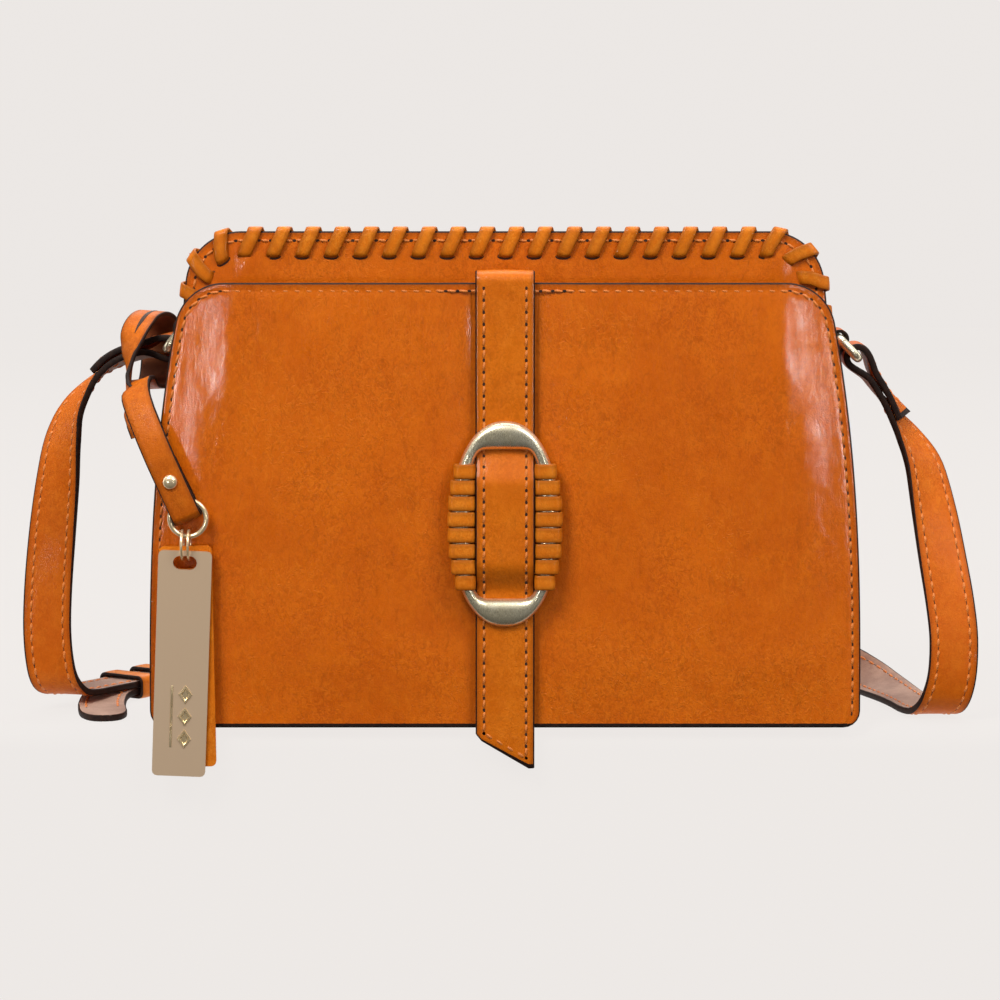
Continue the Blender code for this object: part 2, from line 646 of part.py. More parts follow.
def strap_short_route():
    """Centre line of the short strap from the left D-ring to its buckle, in mm, with width direction."""
    return [(-122.3, 7, 134.0, 0, -1, 0), (-127.5, 7, 133.7, 0, -1, 0.1), (-133.5, 7, 132.6, 0, -1, 0.15),
            (-140, 7, 130.5, 0.03, -1, 0.17), (-146.5, 7, 126.8, 0.12, -1, 0.15), (-152.8, 7, 120.6, 0.3, -1, 0.1),
            (-158.1, 6.8, 111.3, 0.6, -1, 0), (-161.6, 6.2, 99, 1, -0.8, 0), (-163.4, 5.4, 85.3, 1, -0.45, 0),
            (-165.4, 4.5, 67.6, 1, -0.2, 0), (-167.1, 3.4, 47.9, 1, -0.05, 0), (-167.7, 2.4, 32, 1, 0, 0),
            (-167, 2.2, 20, 1, 0, 0),
            (-165.4, 4.0, 12, 1, -0.05, 0), (-162, 9, 7.2, 1, -0.2, 0), (-158, 16, 5.8, 1, -0.4, 0),
            (-152.5, 24.5, 5.65, 0.9, -0.55, 0), (-145.5, 34.2, 5.65, 0.84, -0.55, 0),
            (-138, 45.2, 5.65, 0.83, -0.56, 0), (-130.5, 56.2, 5.65, 0.83, -0.56, 0),
            (-124.9, 64.5, 5.8, 0.83, -0.56, 0), (-121.5, 69.5, 6.0, 0.83, -0.56, 0)]


def strap_long_route():
    """Centre line of the long strap from the right D-ring, folded behind the bag, to its tip."""
    return [(127.8, 7, 130.7, 0, 1, 0), (132.3, 7, 124.9, 0.02, 1, -0.1), (137.6, 7, 117.6, 0.12, 1, -0.14),
            (143.4, 6.6, 109.5, 0.35, 1, -0.1), (148.8, 5.4, 101.3, 0.7, 1, 0), (152.9, 2.6, 91, 1, 0.75, 0),
            (156.1, -3, 74.5, 1, 0.35, 0), (158.7, -9, 57.7, 1, 0.12, 0), (160.9, -14, 42.9, 1, 0, 0),
            (162, -17.6, 30, 1, 0, 0), (161.4, -18.8, 17, 1, 0, 0), (159.2, -17, 8, 1, 0, 0),
            (156.2, -10.8, 3.1, 1, 0.05, 0), (153.2, -1, 1.8, 1, 0.15, 0), (150, 12, 2.2, 1, 0.2, 0.02),
            (146.2, 26, 2.9, 1, 0.25, 0.12), (141.8, 40, 4.0, 1, 0.45, 0.35), (136, 51.5, 6.2, 0.85, 0.5, 0.65),
            (127.5, 60, 8.6, 0.45, 0.3, 1), (115, 65, 9.1, 0.1, 0.05, 1), (98, 66.8, 9.0, 0, 0, 1),
            (60, 66.5, 9.0, 0, 0, 1),
            (10, 64, 9.0, 0, 0, 1), (-40, 65, 9.0, 0, 0, 1), (-76, 68, 9.0, 0, 0, 1),
            (-92, 76, 9.0, 0, 0, 1), (-98, 88, 9.0, 0, 0, 1), (-92, 100, 9.0, 0, 0, 1),
            (-76, 107, 9.0, 0, 0, 1), (-30, 108, 9.0, 0, 0, 1), (20, 106, 9.0, 0, 0, 1),
            (70, 108, 9.0, 0, 0, 1), (86, 116, 9.0, 0, 0, 1), (92, 128, 9.0, 0, 0, 1),
            (86, 140, 9.0, 0, 0, 1), (70, 147, 9.0, 0, 0, 1), (20, 149, 9.0, 0, 0, 1),
            (-40, 147, 9.0, 0, 0, 1), (-90, 145, 9.0, 0, 0, 1), (-110, 138, 9.0, 0, 0, 1),
            (-119, 125, 9.1, -0.1, 0, 1), (-120.4, 112, 8.4, -0.7, 0, 1), (-118, 100, 5.8, -1, 0, 0.5),
            (-114.8, 90.5, 4.9, -1, 0.3, 0.1), (-113.4, 84.0, 5.2, -0.83, 0.56, 0),
            (-115.9, 79.8, 4.4, -0.83, 0.56, 0), (-119, 74.2, 2.2, -0.83, 0.56, 0),
            (-123.0, 67.4, 2.3, -0.83, 0.56, 0), (-130.5, 56.2, 2.85, -0.83, 0.56, 0),
            (-138, 45.2, 2.85, -0.83, 0.56, 0), (-145.5, 34.2, 2.85, -0.83, 0.56, 0),
            (-148.8, 24, 2.3, -0.9, 0.4, 0), (-149, 12, 1.3, -0.98, 0.15, 0),
            (-147.6, 0, 1.25, -1, 0, 0), (-145.8, -10, 1.25, -1, -0.1, 0), (-144.2, -18, 1.25, -1, -0.15, 0)]


def make_straps():
    line = frames(strap_long_route(), 2)
    loop, main = doubled_end(line, 1, LOOP_RADIUS)
    route = loop + main
    taper = [1.0] * (len(route) - 3) + [0.96, 0.8, 0.45]
    band("strap_long", route, STRAP_WIDTH, STRAP_THICK, "leather", taper)

    line = frames(strap_short_route(), 2)
    loop, main = doubled_end(line, 1, LOOP_RADIUS)
    band("strap_short", loop + main + turned_back(line, BUCKLE_LOOP, BUCKLE_REACH),
         STRAP_WIDTH, STRAP_THICK, "leather")


def turned_back(line, radius, reach):
    """Carries a strap round a bar above its end and back over itself."""
    place, wide, _ = line[-1]
    run = (place - line[-2][0]).normalized()
    up = Vector((0, 0, 1))
    centre = place + up * radius
    points = []
    for step in range(1, 7):
        angle = math.pi * step / 6
        points.append((centre + run * radius * math.sin(angle) - up * radius * math.cos(angle), wide, None))
    for part in (0.25, 0.5, 0.75, 1.0):
        lift = 2 * PLY_OFFSET + (2 * radius - 2 * PLY_OFFSET) * (1 - smoothstep(part / 0.75))
        points.append((place - run * reach * part + up * lift, wide, None))
    return points


def make_buckle():
    across = Vector((-STRAP_RUN.y, STRAP_RUN.x, 0))
    bar = Vector(strap_short_route()[-1][:3]) * MM + Vector((0, 0, BUCKLE_LOOP))
    far = bar - STRAP_RUN * 17 * MM
    far.z = 2.1 * MM
    run = (far - bar).normalized()
    half = STRAP_WIDTH / 2 + 1.2 * MM + BUCKLE_WIRE
    path = rounded_loop((bar + far) / 2, across, run, half, (far - bar).length / 2, 3 * MM)
    wire_loop("buckle_frame", path, across.cross(run).normalized(), BUCKLE_WIRE, 8)


def make_keeper(name, centre):
    """A closed leather loop round both straps."""
    across = Vector((-STRAP_RUN.y, STRAP_RUN.x, 0))
    up = Vector((0, 0, 1))
    half_wide, half_tall = STRAP_WIDTH / 2 + 0.6 * MM, 3.1 * MM
    wall = 1.2 * MM
    inner = rounded_loop(Vector(), across, up, half_wide, half_tall, 1.2 * MM, 2)
    outer = rounded_loop(Vector(), across, up, half_wide + wall, half_tall + wall, 2.4 * MM, 2)
    rings = []
    for a, b in zip(inner, outer):
        low, high = centre - STRAP_RUN * KEEPER_HALF, centre + STRAP_RUN * KEEPER_HALF
        rings.append([low + a, low + b, high + b, high + a])
    set_origin(loft(name, rings, "lace_leather", closed=True), centre)


# ---------------------------------------------------------------- charm

def make_charm():
    down = Vector((0.407, 0, -0.9135))
    wide = Vector((0.9135, 0, 0.407))
    front, back = -39.3 * MM, -34.7 * MM
    radius = (back - front) / 2
    line = []
    back_ply = [(22, -37.3), (17, -37.2), (12.5, -36.2), (9, -34.9), (5, -34.7)]
    for height, y in back_ply:
        line.append(O_CENTRE - down * height * MM + Vector((0, y * MM - O_CENTRE.y, 0)))
    for step in range(7):
        angle = math.pi * step / 6
        line.append(O_CENTRE - down * radius + down * radius * math.sin(angle)
                    + Vector((0, radius * math.cos(angle), 0)))
    front_ply = [(7, -39.4), (12, -39.3), (18, -39.2), (24, -38.9), (31, -37.4), (37, -35.0), (42, -32.4)]
    for height, y in front_ply:
        line.append(O_CENTRE - down * height * MM + Vector((0, y * MM - O_CENTRE.y, 0)))
    # Back under the strap, up behind it, over the top and down in front with a twist, to its round end.
    loop = [(-131.2, -28, 119.8, 0.88, 0.1, 0.4), (-129.9, -20, 123.4, 0.5, -0.8, 0.2),
            (-129, -8, 120.8, 0.85, -0.45, 0.1), (-128.4, 6, 119.8, 0.97, -0.2, 0.05),
            (-127.6, 17, 122.6, 0.99, -0.1, 0.05), (-127.2, 21.9, 129, 1, 0, 0), (-127, 22.2, 137, 1, 0, 0),
            (-127, 21.2, 142, 1, 0, 0), (-127.4, 16, 145.2, 0.98, -0.2, 0), (-128.4, 9, 146.4, 0.93, -0.35, -0.05),
            (-130.3, 1, 145.8, 0.93, -0.35, -0.08), (-132.1, -4.5, 143.4, 0.95, -0.28, -0.1),
            (-133.4, -8, 140.5, 0.92, -0.35, 0), (-134.1, -10, 136.9, 0.75, -0.65, 0),
            (-134.7, -11, 133.7, 0.55, -0.83, 0), (-134.8, -12, 130.2, 0.3, -0.95, 0),
            (-135, -13, 126.7, 0.12, -0.99, 0), (-135.2, -15, 122.9, 0.03, -1, 0),
            (-134.8, -19, 118.8, 0.2, -0.97, 0), (-132.8, -25, 115.3, 0.6, -0.75, 0.25),
            (-130.4, -29.4, 112.2, 0.85, -0.35, 0.38), (-129, -31, 109.2, 0.91, 0, 0.4),
            (-127.7, -31.6, 105.8, 0.91, 0, 0.4)]
    places = [(point, wide) for point in line]
    places += [(Vector(row[:3]) * MM, Vector(row[3:])) for row in spline(loop, 2)]
    band("charm_strip", [(p, w, None) for p, w in places], STRIP_WIDTH, STRIP_THICK, "lace_leather")

    spot = O_CENTRE - down * 14.6 * MM
    dome = [(2.6, 0.0), (2.5, 0.6), (1.9, 1.2), (1.0, 1.55)]
    rings = [[Vector((spot.x + r * MM * math.cos(math.tau * j / 12), -40.5 * MM - h * MM,
                      spot.z + r * MM * math.sin(math.tau * j / 12))) for j in range(12)] for r, h in dome]
    loft("charm_rivet", rings, "brass", smooth=True)

    side, up, forward = Vector((1, 0, 0)), Vector((0, 0, 1)), Vector((0, 1, 0))
    wire_loop("charm_o_ring", rounded_loop(O_CENTRE, side, up, O_RADIUS, O_RADIUS, O_RADIUS, 6),
              forward, 0.75 * MM, 8)
    pivot = Vector((O_CENTRE.x, O_CENTRE.y, O_CENTRE.z - O_RADIUS + 0.2 * MM))
    for name, x in zip(("jump_ring_left", "jump_ring_right"), JUMP_X):
        centre = Vector((x, O_CENTRE.y, JUMP_Z))
        ring = wire_loop(name, rounded_loop(centre, forward, up, JUMP_RADIUS, JUMP_RADIUS, JUMP_RADIUS, 6),
                         side, 0.6 * MM, 8)
        set_origin(ring, pivot)
    make_tag("tag_plate", 9.5 * MM, 64.8 * MM, -16.2 * MM, -38.4 * MM, -37.2 * MM, PLATE_TILT, "tag_metal")
    make_tag("tag_leather", 9.4 * MM, 66.3 * MM, -13.0 * MM, -36.9 * MM, -35.1 * MM, BACKING_TILT,
             "lace_leather")


def make_tag(name, half, top, bottom, y0, y1, tilt, kind):
    """A hanging plate with a slot for the jump rings, tilted a little about the slot."""
    pivot = Vector((TAG_X, -37 * MM, TAG_PIVOT_Z))
    turn = Matrix.Rotation(tilt, 4, "Y")

    def tilted(points, y):
        placed = []
        for x, z in points:
            placed.append(pivot + turn @ (Vector((x, 0, z)) - Vector((0, 0, TAG_PIVOT_Z)))
                          + Vector((0, y - pivot.y, 0)))
        return placed

    plate = []
    radius = 1.8 * MM
    for sx, z, start in ((1, top, 0), (-1, top, 90), (-1, bottom, 180), (1, bottom, 270)):
        corner = ((half - radius) * sx, z - radius if z == top else z + radius)
        plate += arc(corner, radius, start, start + 90, 3)
    obj = loft(name, [tilted(plate, y0), tilted(plate, y1)], kind)
    slot = []
    for sx, start in ((1, -90), (-1, 90)):
        slot += arc((1.8 * MM * sx, TAG_PIVOT_Z - 1.05 * MM), 2.45 * MM, start, start + 180, 6)
    cut(obj, loft(name + "_slot_cutter", [tilted(slot, y0 - MM), tilted(slot, y1 + MM)], kind))
    set_origin(obj, pivot)


def build():
    clear_scene()
    make_pocket()
    make_main_panel()
    make_lace()
    make_body()
    make_zip()
    make_tab()
    for sign in (-1, 1):
        make_d_ring(sign)
    make_straps()
    make_buckle()
    make_keeper("keeper_fixed", KEEPER_FIXED)
    make_keeper("keeper_sliding", KEEPER_SLIDING)
    make_charm()


build()
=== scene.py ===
"""Looks of the leather sling bag: stitched and laced leather, painted edges, antique brass fittings.

Everything is in metres in the frame's own coordinates: +Z up, the front faces -Y.
"""

from math import atan, copysign, cos, exp, hypot, pi, radians, sin, sqrt, tau

import bmesh
import bpy
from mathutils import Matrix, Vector, noise


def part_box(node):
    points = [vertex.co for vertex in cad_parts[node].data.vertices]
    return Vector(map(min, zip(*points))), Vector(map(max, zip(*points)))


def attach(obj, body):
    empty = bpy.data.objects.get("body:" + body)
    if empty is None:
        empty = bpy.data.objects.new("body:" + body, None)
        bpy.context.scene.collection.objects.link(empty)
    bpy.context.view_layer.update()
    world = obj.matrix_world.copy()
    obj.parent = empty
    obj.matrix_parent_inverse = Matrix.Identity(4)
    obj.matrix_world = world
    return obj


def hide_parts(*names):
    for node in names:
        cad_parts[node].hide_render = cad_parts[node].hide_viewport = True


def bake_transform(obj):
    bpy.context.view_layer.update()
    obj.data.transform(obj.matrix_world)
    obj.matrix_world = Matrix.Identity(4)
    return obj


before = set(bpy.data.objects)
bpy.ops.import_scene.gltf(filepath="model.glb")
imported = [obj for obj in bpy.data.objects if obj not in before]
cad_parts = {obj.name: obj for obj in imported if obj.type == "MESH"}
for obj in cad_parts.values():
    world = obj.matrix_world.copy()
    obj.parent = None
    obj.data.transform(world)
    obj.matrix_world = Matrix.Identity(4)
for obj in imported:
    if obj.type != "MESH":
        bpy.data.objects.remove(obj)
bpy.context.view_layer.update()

MM = 0.001
UP = Vector((0, 0, 1))
FRONT = Vector((0, -1, 0))
DEPTH = Vector((0, 1, 0))
SIDE = Vector((1, 0, 0))


# ---- camera, lights and floor

VIEW_DISTANCE = 1.3
VIEW_ELEVATION = radians(10.0)
VIEW_TILT = radians(6.4)
VIEW_SHIFT_X = -1.8 * MM
LENS_MM = 130.4
BACKDROP = (0.838, 0.804, 0.781)
WARM = (1.0, 0.965, 0.90)
LIGHT_AIM = Vector((0, 0, 0.09))

FACE_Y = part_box("front_pocket_panel")[0].y


def make_camera():
    data = bpy.data.cameras.new("camera")
    data.lens = LENS_MM
    camera = in_scene(bpy.data.objects.new("camera", data))
    away = Vector((0, -cos(VIEW_ELEVATION), sin(VIEW_ELEVATION)))
    camera.location = Vector((VIEW_SHIFT_X, FACE_Y, 0)) + away * VIEW_DISTANCE
    camera.rotation_euler = (pi / 2 - VIEW_TILT, 0, 0)
    bpy.context.scene.camera = camera


def in_scene(obj):
    bpy.context.scene.collection.objects.link(obj)
    return obj


def make_light(name, place, width, height, power, colour=(1, 1, 1)):
    data = bpy.data.lights.new(name, "AREA")
    data.shape, data.size, data.size_y = "RECTANGLE", width, height
    data.energy, data.color = power, colour
    light = in_scene(bpy.data.objects.new(name, data))
    light.location = place
    light.rotation_euler = (LIGHT_AIM - Vector(place)).to_track_quat("-Z", "Y").to_euler()


def make_lights():
    make_light("key", (-0.62, -1.00, 1.30), 0.6, 0.6, 21.0, WARM)
    make_light("fill", (0.80, -0.95, 1.05), 0.6, 0.7, 9.8, WARM)
    make_light("top", (0.0, 0.25, 1.35), 1.0, 0.8, 11.0)
    for name, sign in (("left", -1), ("right", 1)):
        make_light("strip_" + name, (0.60 * sign, -1.20, 0.06), 0.055, 0.14, 1.25)
        make_light("rim_" + name, (1.15 * sign, 0.15, 0.5), 0.35, 1.0, 2.4)
    make_light("back", (0.0, 1.3, 0.9), 1.0, 0.6, 5.0)


# ---- materials

class Nodes:
    """Short way to write a node tree, for a material that ends in a Principled shader or for the world."""

    def __init__(self, owner):
        owner.use_nodes = True
        self.owner, self.tree = owner, owner.node_tree
        self.shader = self.tree.nodes.get("Principled BSDF")
        if not self.shader:
            self.tree.nodes.clear()
        self.coordinates = self.add("TexCoord").outputs
        self.place = self.coordinates["Object"]

    def add(self, kind, inputs=None, **settings):
        node = self.tree.nodes.new("ShaderNode" + kind)
        for key, value in settings.items():
            setattr(node, key, value)
        for key, value in (inputs or {}).items():
            self.put(node.inputs[key], value)
        return node

    def out(self, *arguments, **settings):
        return self.add(*arguments, **settings).outputs[0]

    def put(self, socket, value):
        if isinstance(value, bpy.types.NodeSocket):
            self.tree.links.new(value, socket)
        elif isinstance(value, tuple) and len(value) == 3 and socket.type == "RGBA":
            socket.default_value = (*value, 1)
        else:
            socket.default_value = value

    def wave(self, scale, distortion, place, detail=1.0):
        return self.add("TexWave", {"Vector": place, "Scale": scale, "Distortion": distortion,
                                    "Detail": detail}, bands_direction="DIAGONAL").outputs["Fac"]

    def attribute(self, name):
        return self.add("Attribute", attribute_name=name).outputs["Fac"]

    def scaled(self, scale):
        return self.out("Mapping", {"Vector": self.place, "Scale": scale})

    def noise(self, scale, detail=4.0, rough=0.55, stretch=(1, 1, 1), distortion=0.0):
        return self.add("TexNoise", {"Vector": self.scaled(stretch), "Scale": scale, "Detail": detail,
                                     "Roughness": rough, "Distortion": distortion}).outputs["Fac"]

    def ramp(self, value, low, high, out_low=0.0, out_high=1.0):
        return self.out("MapRange", {"Value": value, "From Min": low, "From Max": high, "To Min": out_low,
                                     "To Max": out_high}, interpolation_type="SMOOTHSTEP")

    def mix(self, factor, a, b):
        return self.add("Mix", {0: factor, 6: a, 7: b}, data_type="RGBA").outputs[2]

    def math(self, operation, a, b=0.0):
        return self.out("Math", {0: a, 1: b}, operation=operation)

    def times(self, a, b):
        return self.math("MULTIPLY", a, b)

    def bump(self, height, distance, strength=1.0, normal=None):
        inputs = {"Height": height, "Distance": distance, "Strength": strength, "Normal": normal}
        return self.out("Bump", {key: value for key, value in inputs.items() if value is not None})

    def finish(self, **inputs):
        for key, value in inputs.items():
            self.put(self.shader.inputs[key.replace("_", " ")], value)
        return self.owner


def new_material(name):
    return Nodes(bpy.data.materials.new(name))


def make_world():
    """Pale backdrop in the picture. As a light it is bright above and dark below the horizon."""
    world = bpy.context.scene.world = bpy.data.worlds.new("studio")
    n = Nodes(world)
    height = n.add("SeparateXYZ", {"Vector": n.coordinates["Generated"]}).outputs["Z"]
    seen = n.out("Background", {"Color": BACKDROP})
    lit = n.out("Background", {"Color": (1.0, 0.975, 0.95),
                               "Strength": n.ramp(height, -0.05, 0.65, 0.06, 0.55)})
    camera_ray = n.add("LightPath").outputs["Is Camera Ray"]
    n.add("OutputWorld", {"Surface": n.out("MixShader", {0: camera_ray, 1: lit, 2: seen})})


def leather_material(name, base, dark, light, rough, coat, grain, marks):
    """Waxed leather: clouded colour, pull-up marks, fine grooves, darker where it meets an edge."""
    n = new_material(name)
    fleck = n.ramp(n.noise(170, 6, 0.7), 0.40, 0.70)
    mark = n.ramp(n.noise(70, 5, 0.75, (1.0, 1.0, 0.42), 1.2), 0.60, 0.74)
    scratch = n.ramp(n.noise(420, 2, 0.5, (0.16, 0.16, 1.0), 0.6), 0.66, 0.74)
    vein = n.math("ABSOLUTE", n.math("SUBTRACT", n.noise(300, 3, 0.6, (1, 1, 0.55), 1.0), 0.5))
    patch = n.ramp(n.noise(24, 3, 0.5, distortion=0.5), 0.44, 0.62)
    vein = n.times(n.ramp(vein, 0.0, 0.05, 1.0, 0.0), n.math("ADD", patch, 0.05))
    grooves = n.noise(330, 6, 0.68, (1.0, 1.0, 0.5), 0.8)
    crackle = n.noise(780, 3, 0.6, (1, 1, 0.75), 1.2)
    rich = n.ramp(n.noise(30, 3, 0.5), 0.36, 0.62, 0.35, 1.0)
    wear, crease = n.attribute("wear"), n.attribute("crease")
    deep = tuple(part * 0.42 for part in dark)
    colour = n.mix(n.ramp(n.noise(26, 5, 0.6, distortion=0.4), 0.36, 0.66), dark, base)
    for amount, tint in ((n.times(fleck, 0.30), light), (n.times(mark, marks), light),
                         (n.times(scratch, 0.22 * marks), light), (n.times(vein, 0.8 * marks), light),
                         (n.ramp(grooves, 0.34, 0.46, 0.20 * grain, 0.0), deep),
                         (n.times(rich, n.ramp(crackle, 0.38, 0.50, 0.24 * grain, 0.0)), deep),
                         (n.times(rich, n.ramp(crackle, 0.51, 0.62, 0.0, 0.38 * grain)), light),
                         (n.times(wear, 0.62), deep)):
        colour = n.mix(amount, colour, tint)
    pores = n.add("TexVoronoi", {"Vector": n.place, "Scale": 1150.0},
                  feature="DISTANCE_TO_EDGE").outputs["Distance"]
    folds = n.ramp(n.noise(250, 4, 0.55, (1.0, 1.0, 0.16), 0.7), 0.35, 0.75)
    normal = None
    for height, depth, strength in (
            (n.ramp(pores, 0.0, 0.35), 0.08, 0.45 * grain), (grooves, 0.30, 0.60 * grain),
            (n.times(crackle, rich), 0.20, 0.95 * grain), (vein, 0.16, 0.5 * grain),
            (n.noise(38, 3, 0.5), 1.5, 0.16), (n.times(folds, crease), 0.75, 0.55)):
        normal = n.bump(height, depth * MM, strength, normal)
    glaze = n.bump(grooves, 0.30 * MM, 0.32 * grain, n.bump(n.noise(38, 3, 0.5), 1.5 * MM, 0.14))
    gloss = n.math("ADD", n.ramp(n.noise(95, 5, 0.7), 0.3, 0.7, rough - 0.06, rough + 0.09),
                   n.times(wear, 0.05))
    return n.finish(Base_Color=colour, Roughness=gloss, Normal=normal, Coat_Normal=glaze, Coat_Weight=coat,
                    Coat_Roughness=0.12, Specular_IOR_Level=0.10)


def paint_material():
    n = new_material("edge_paint")
    tone = n.ramp(n.noise(500, 4), 0.35, 0.7)
    colour = n.mix(tone, (0.009, 0.003, 0.002), (0.022, 0.008, 0.004))
    return n.finish(Base_Color=colour, Roughness=0.6, Specular_IOR_Level=0.2,
                    Normal=n.bump(n.noise(900, 3), 0.1 * MM, 0.5))


def suede_material(name, dark, light, sheen=0.25):
    """Soft matt backing leather with a short nap."""
    n = new_material(name)
    colour = n.mix(n.ramp(n.noise(60, 6, 0.7), 0.35, 0.68), dark, light)
    nap = n.noise(1500, 4, 0.7)
    return n.finish(Base_Color=colour, Roughness=0.78, Normal=n.bump(nap, 0.12 * MM, 0.6),
                    Specular_IOR_Level=0.25, Sheen_Weight=sheen, Sheen_Roughness=0.5)


def woven_material(name, dark, light, pitch=0.55 * MM):
    """Plain weave of two crossing threads."""
    n = new_material(name)
    weave = n.times(*(n.wave(0.3142 / pitch, 0.6, n.scaled(way)) for way in ((1, 0, 0), (0, 1, 1))))
    colour = n.mix(n.times(n.noise(80, 4), 0.3), n.mix(weave, dark, light), dark)
    return n.finish(Base_Color=colour, Roughness=0.85, Normal=n.bump(weave, 0.15 * MM, 0.7),
                    Sheen_Weight=0.2)


def thread_material():
    n = new_material("thread")
    twist = n.wave(900.0, 1.0, n.place, 2.0)
    colour = n.mix(twist, (0.50, 0.125, 0.010), (0.74, 0.22, 0.028))
    return n.finish(Base_Color=colour, Roughness=0.5, Normal=n.bump(twist, 0.1 * MM, 0.6),
                    Sheen_Weight=0.1)


def metal_material(name, base, dark, rough, stretch=(1, 1, 14), streaks=1.0, metal=0.85):
    """Lacquered, plated metal with brushing along one direction and faint spots of wear."""
    n = new_material(name)
    brush = n.noise(900, 3, 0.6, stretch)
    cloud = n.ramp(n.noise(60, 5, 0.65), 0.35, 0.7)
    colour = n.mix(cloud, dark, base)
    colour = n.mix(n.times(brush, 0.35 * streaks), colour, dark)
    gloss = n.ramp(brush, 0.3, 0.7, rough - 0.05, rough + 0.10)
    return n.finish(Base_Color=colour, Metallic=metal, Roughness=gloss, Coat_Weight=0.3, Coat_Roughness=0.1,
                    Normal=n.bump(brush, 0.05 * MM, 0.35 * streaks))


def tag_material():
    """Smooth champagne plate with a painted reflection: a shade darker above the soft line where the painted
    reflection ends.
    """
    n = new_material("tag_metal")
    level = n.add("SeparateXYZ", {"Vector": n.place}).outputs["Z"]
    # Painted reflection: lighter below a soft line across the plate, a shade darker above it.
    colour = n.mix(n.ramp(level, -26.0 * MM, -23.0 * MM), (0.70, 0.53, 0.365), (0.60, 0.44, 0.30))
    colour = n.mix(n.times(n.noise(300, 3, 0.5, (12, 1, 1)), 0.12), colour, (0.45, 0.33, 0.22))
    return n.finish(Base_Color=colour, Metallic=0.25, Roughness=0.30, Coat_Weight=0.6, Coat_Roughness=0.06)


def stage_material():
    n = new_material("stage")
    tone = n.mix(n.noise(4, 3), tuple(part * 0.99 for part in BACKDROP), BACKDROP)
    n.put(n.shader.inputs["Emission Color"], tone)
    return n.finish(Base_Color=(0.03, 0.029, 0.028), Roughness=0.95, Emission_Strength=0.985,
                    Specular_IOR_Level=0.0)


# Name, base, dark and light colour, then roughness, coat, strength of grain and of marks.
LEATHERS = (
    ("leather", (0.61, 0.122, 0.0030), (0.54, 0.100, 0.0024), (0.70, 0.170, 0.0070), 0.33, 0.6, 1.0, 0.6),
    ("strap_leather", (0.57, 0.115, 0.004), (0.49, 0.092, 0.003), (0.66, 0.18, 0.012), 0.46, 0.04, 0.7, 0.4),
    ("lace_leather", (0.66, 0.17, 0.006), (0.56, 0.132, 0.0045), (0.78, 0.28, 0.025), 0.38, 0.12, 0.7, 0.4),
    ("tab_leather", (0.60, 0.14, 0.0035), (0.53, 0.112, 0.0028), (0.72, 0.20, 0.012), 0.38, 0.2, 0.8, 0.3),
    # The charm's row is a darker copy of the leather: painted shade on the charm strip.
    ("charm_leather_painted_shade", (0.52, 0.112, 0.0035), (0.42, 0.084, 0.0028), (0.62, 0.17, 0.01), 0.42, 0.03, 0.8, 0.4))
LEATHER, STRAP_LEATHER, LACE_LEATHER, TAB_LEATHER, SHADED_CHARM_LEATHER = (
    leather_material(*row) for row in LEATHERS)
PAINT = paint_material()
BACKING = suede_material("strap_backing", (0.26, 0.14, 0.095), (0.40, 0.24, 0.17))
FLESH = suede_material("flesh_side", (0.12, 0.030, 0.008), (0.20, 0.055, 0.014), 0.0)
LINING = woven_material("lining_cloth", (0.16, 0.10, 0.07), (0.36, 0.25, 0.18))
TAPE = woven_material("zip_tape_cloth", (0.12, 0.035, 0.008), (0.34, 0.12, 0.028), 0.4 * MM)
BOARD = suede_material("board", (0.05, 0.04, 0.035), (0.12, 0.10, 0.085))
THREAD = thread_material()
# Dark matt material for needle holes, lace slots and the charm's slit: painted shade inside them.
HOLE_SHADE = suede_material("needle_hole_painted_shade", (0.020, 0.006, 0.002), (0.045, 0.014, 0.004))
BRASS = metal_material("antique_brass", (1.0, 0.94, 0.76), (0.84, 0.75, 0.52), 0.24, (14, 14, 1), 0.8, 0.88)
GOLD = metal_material("polished_gold", (1.0, 0.82, 0.55), (0.86, 0.66, 0.38), 0.17, (1, 1, 1), 0.3, 0.7)
TAG_METAL = tag_material()
HIDE = [LEATHER, PAINT, FLESH]


# ---- mesh helpers

class Shape:
    """Collects points and faces, with a material number and a wear value, into one mesh."""

    def __init__(self):
        self.points, self.wear, self.faces, self.slots = [], [], [], []

    def add(self, points, wear=0.0):
        start = len(self.points)
        self.points.extend(points)
        self.wear.extend(wear if isinstance(wear, list) else [wear] * len(points))
        return start

    def face(self, corners, slot=0):
        self.faces.append(tuple(corners))
        self.slots.append(slot)

    def tube(self, rings, slots=0, wear=0.0, closed=False):
        """Skins equal rings of points. Slots is one number, one per side, or a function of (ring, side)."""
        size, count = len(rings[0]), len(rings)
        starts = [self.add(ring, wear) for ring in rings]

        def slot(i, j):
            return slots(i, j) if callable(slots) else slots[j] if isinstance(slots, list) else slots

        for i in range(count if closed else count - 1):
            a, b = starts[i], starts[(i + 1) % count]
            for j in range(size):
                k = (j + 1) % size
                self.face((a + j, a + k, b + k, b + j), slot(i, j))
        if not closed:
            self.face([starts[0] + j for j in reversed(range(size))], slot(0, 0))
            self.face([starts[-1] + j for j in range(size)], slot(count - 1, 0))
        return self


def make(name, shape, materials, body=None, replaces=(), smooth=55):
    """Turns a Shape into an object that rides on a body and stands for CAD nodes."""
    mesh = bpy.data.meshes.new(name)
    mesh.from_pydata([tuple(point) for point in shape.points], [], shape.faces)
    for material in materials:
        mesh.materials.append(material)
    mesh.polygons.foreach_set("material_index", shape.slots)
    mesh.attributes.new("wear", "FLOAT", "POINT").data.foreach_set("value", shape.wear)
    mesh.update()
    turn_outwards(mesh)
    mesh.shade_smooth()
    mesh.set_sharp_from_angle(angle=radians(smooth))
    obj = in_scene(bpy.data.objects.new(name, mesh))
    if replaces:
        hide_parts(*replaces)
    if body:
        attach(obj, body)
    return obj


def turn_outwards(mesh):
    bm = bmesh.new()
    bm.from_mesh(mesh)
    bmesh.ops.recalc_face_normals(bm, faces=bm.faces)
    bm.to_mesh(mesh)
    bm.free()


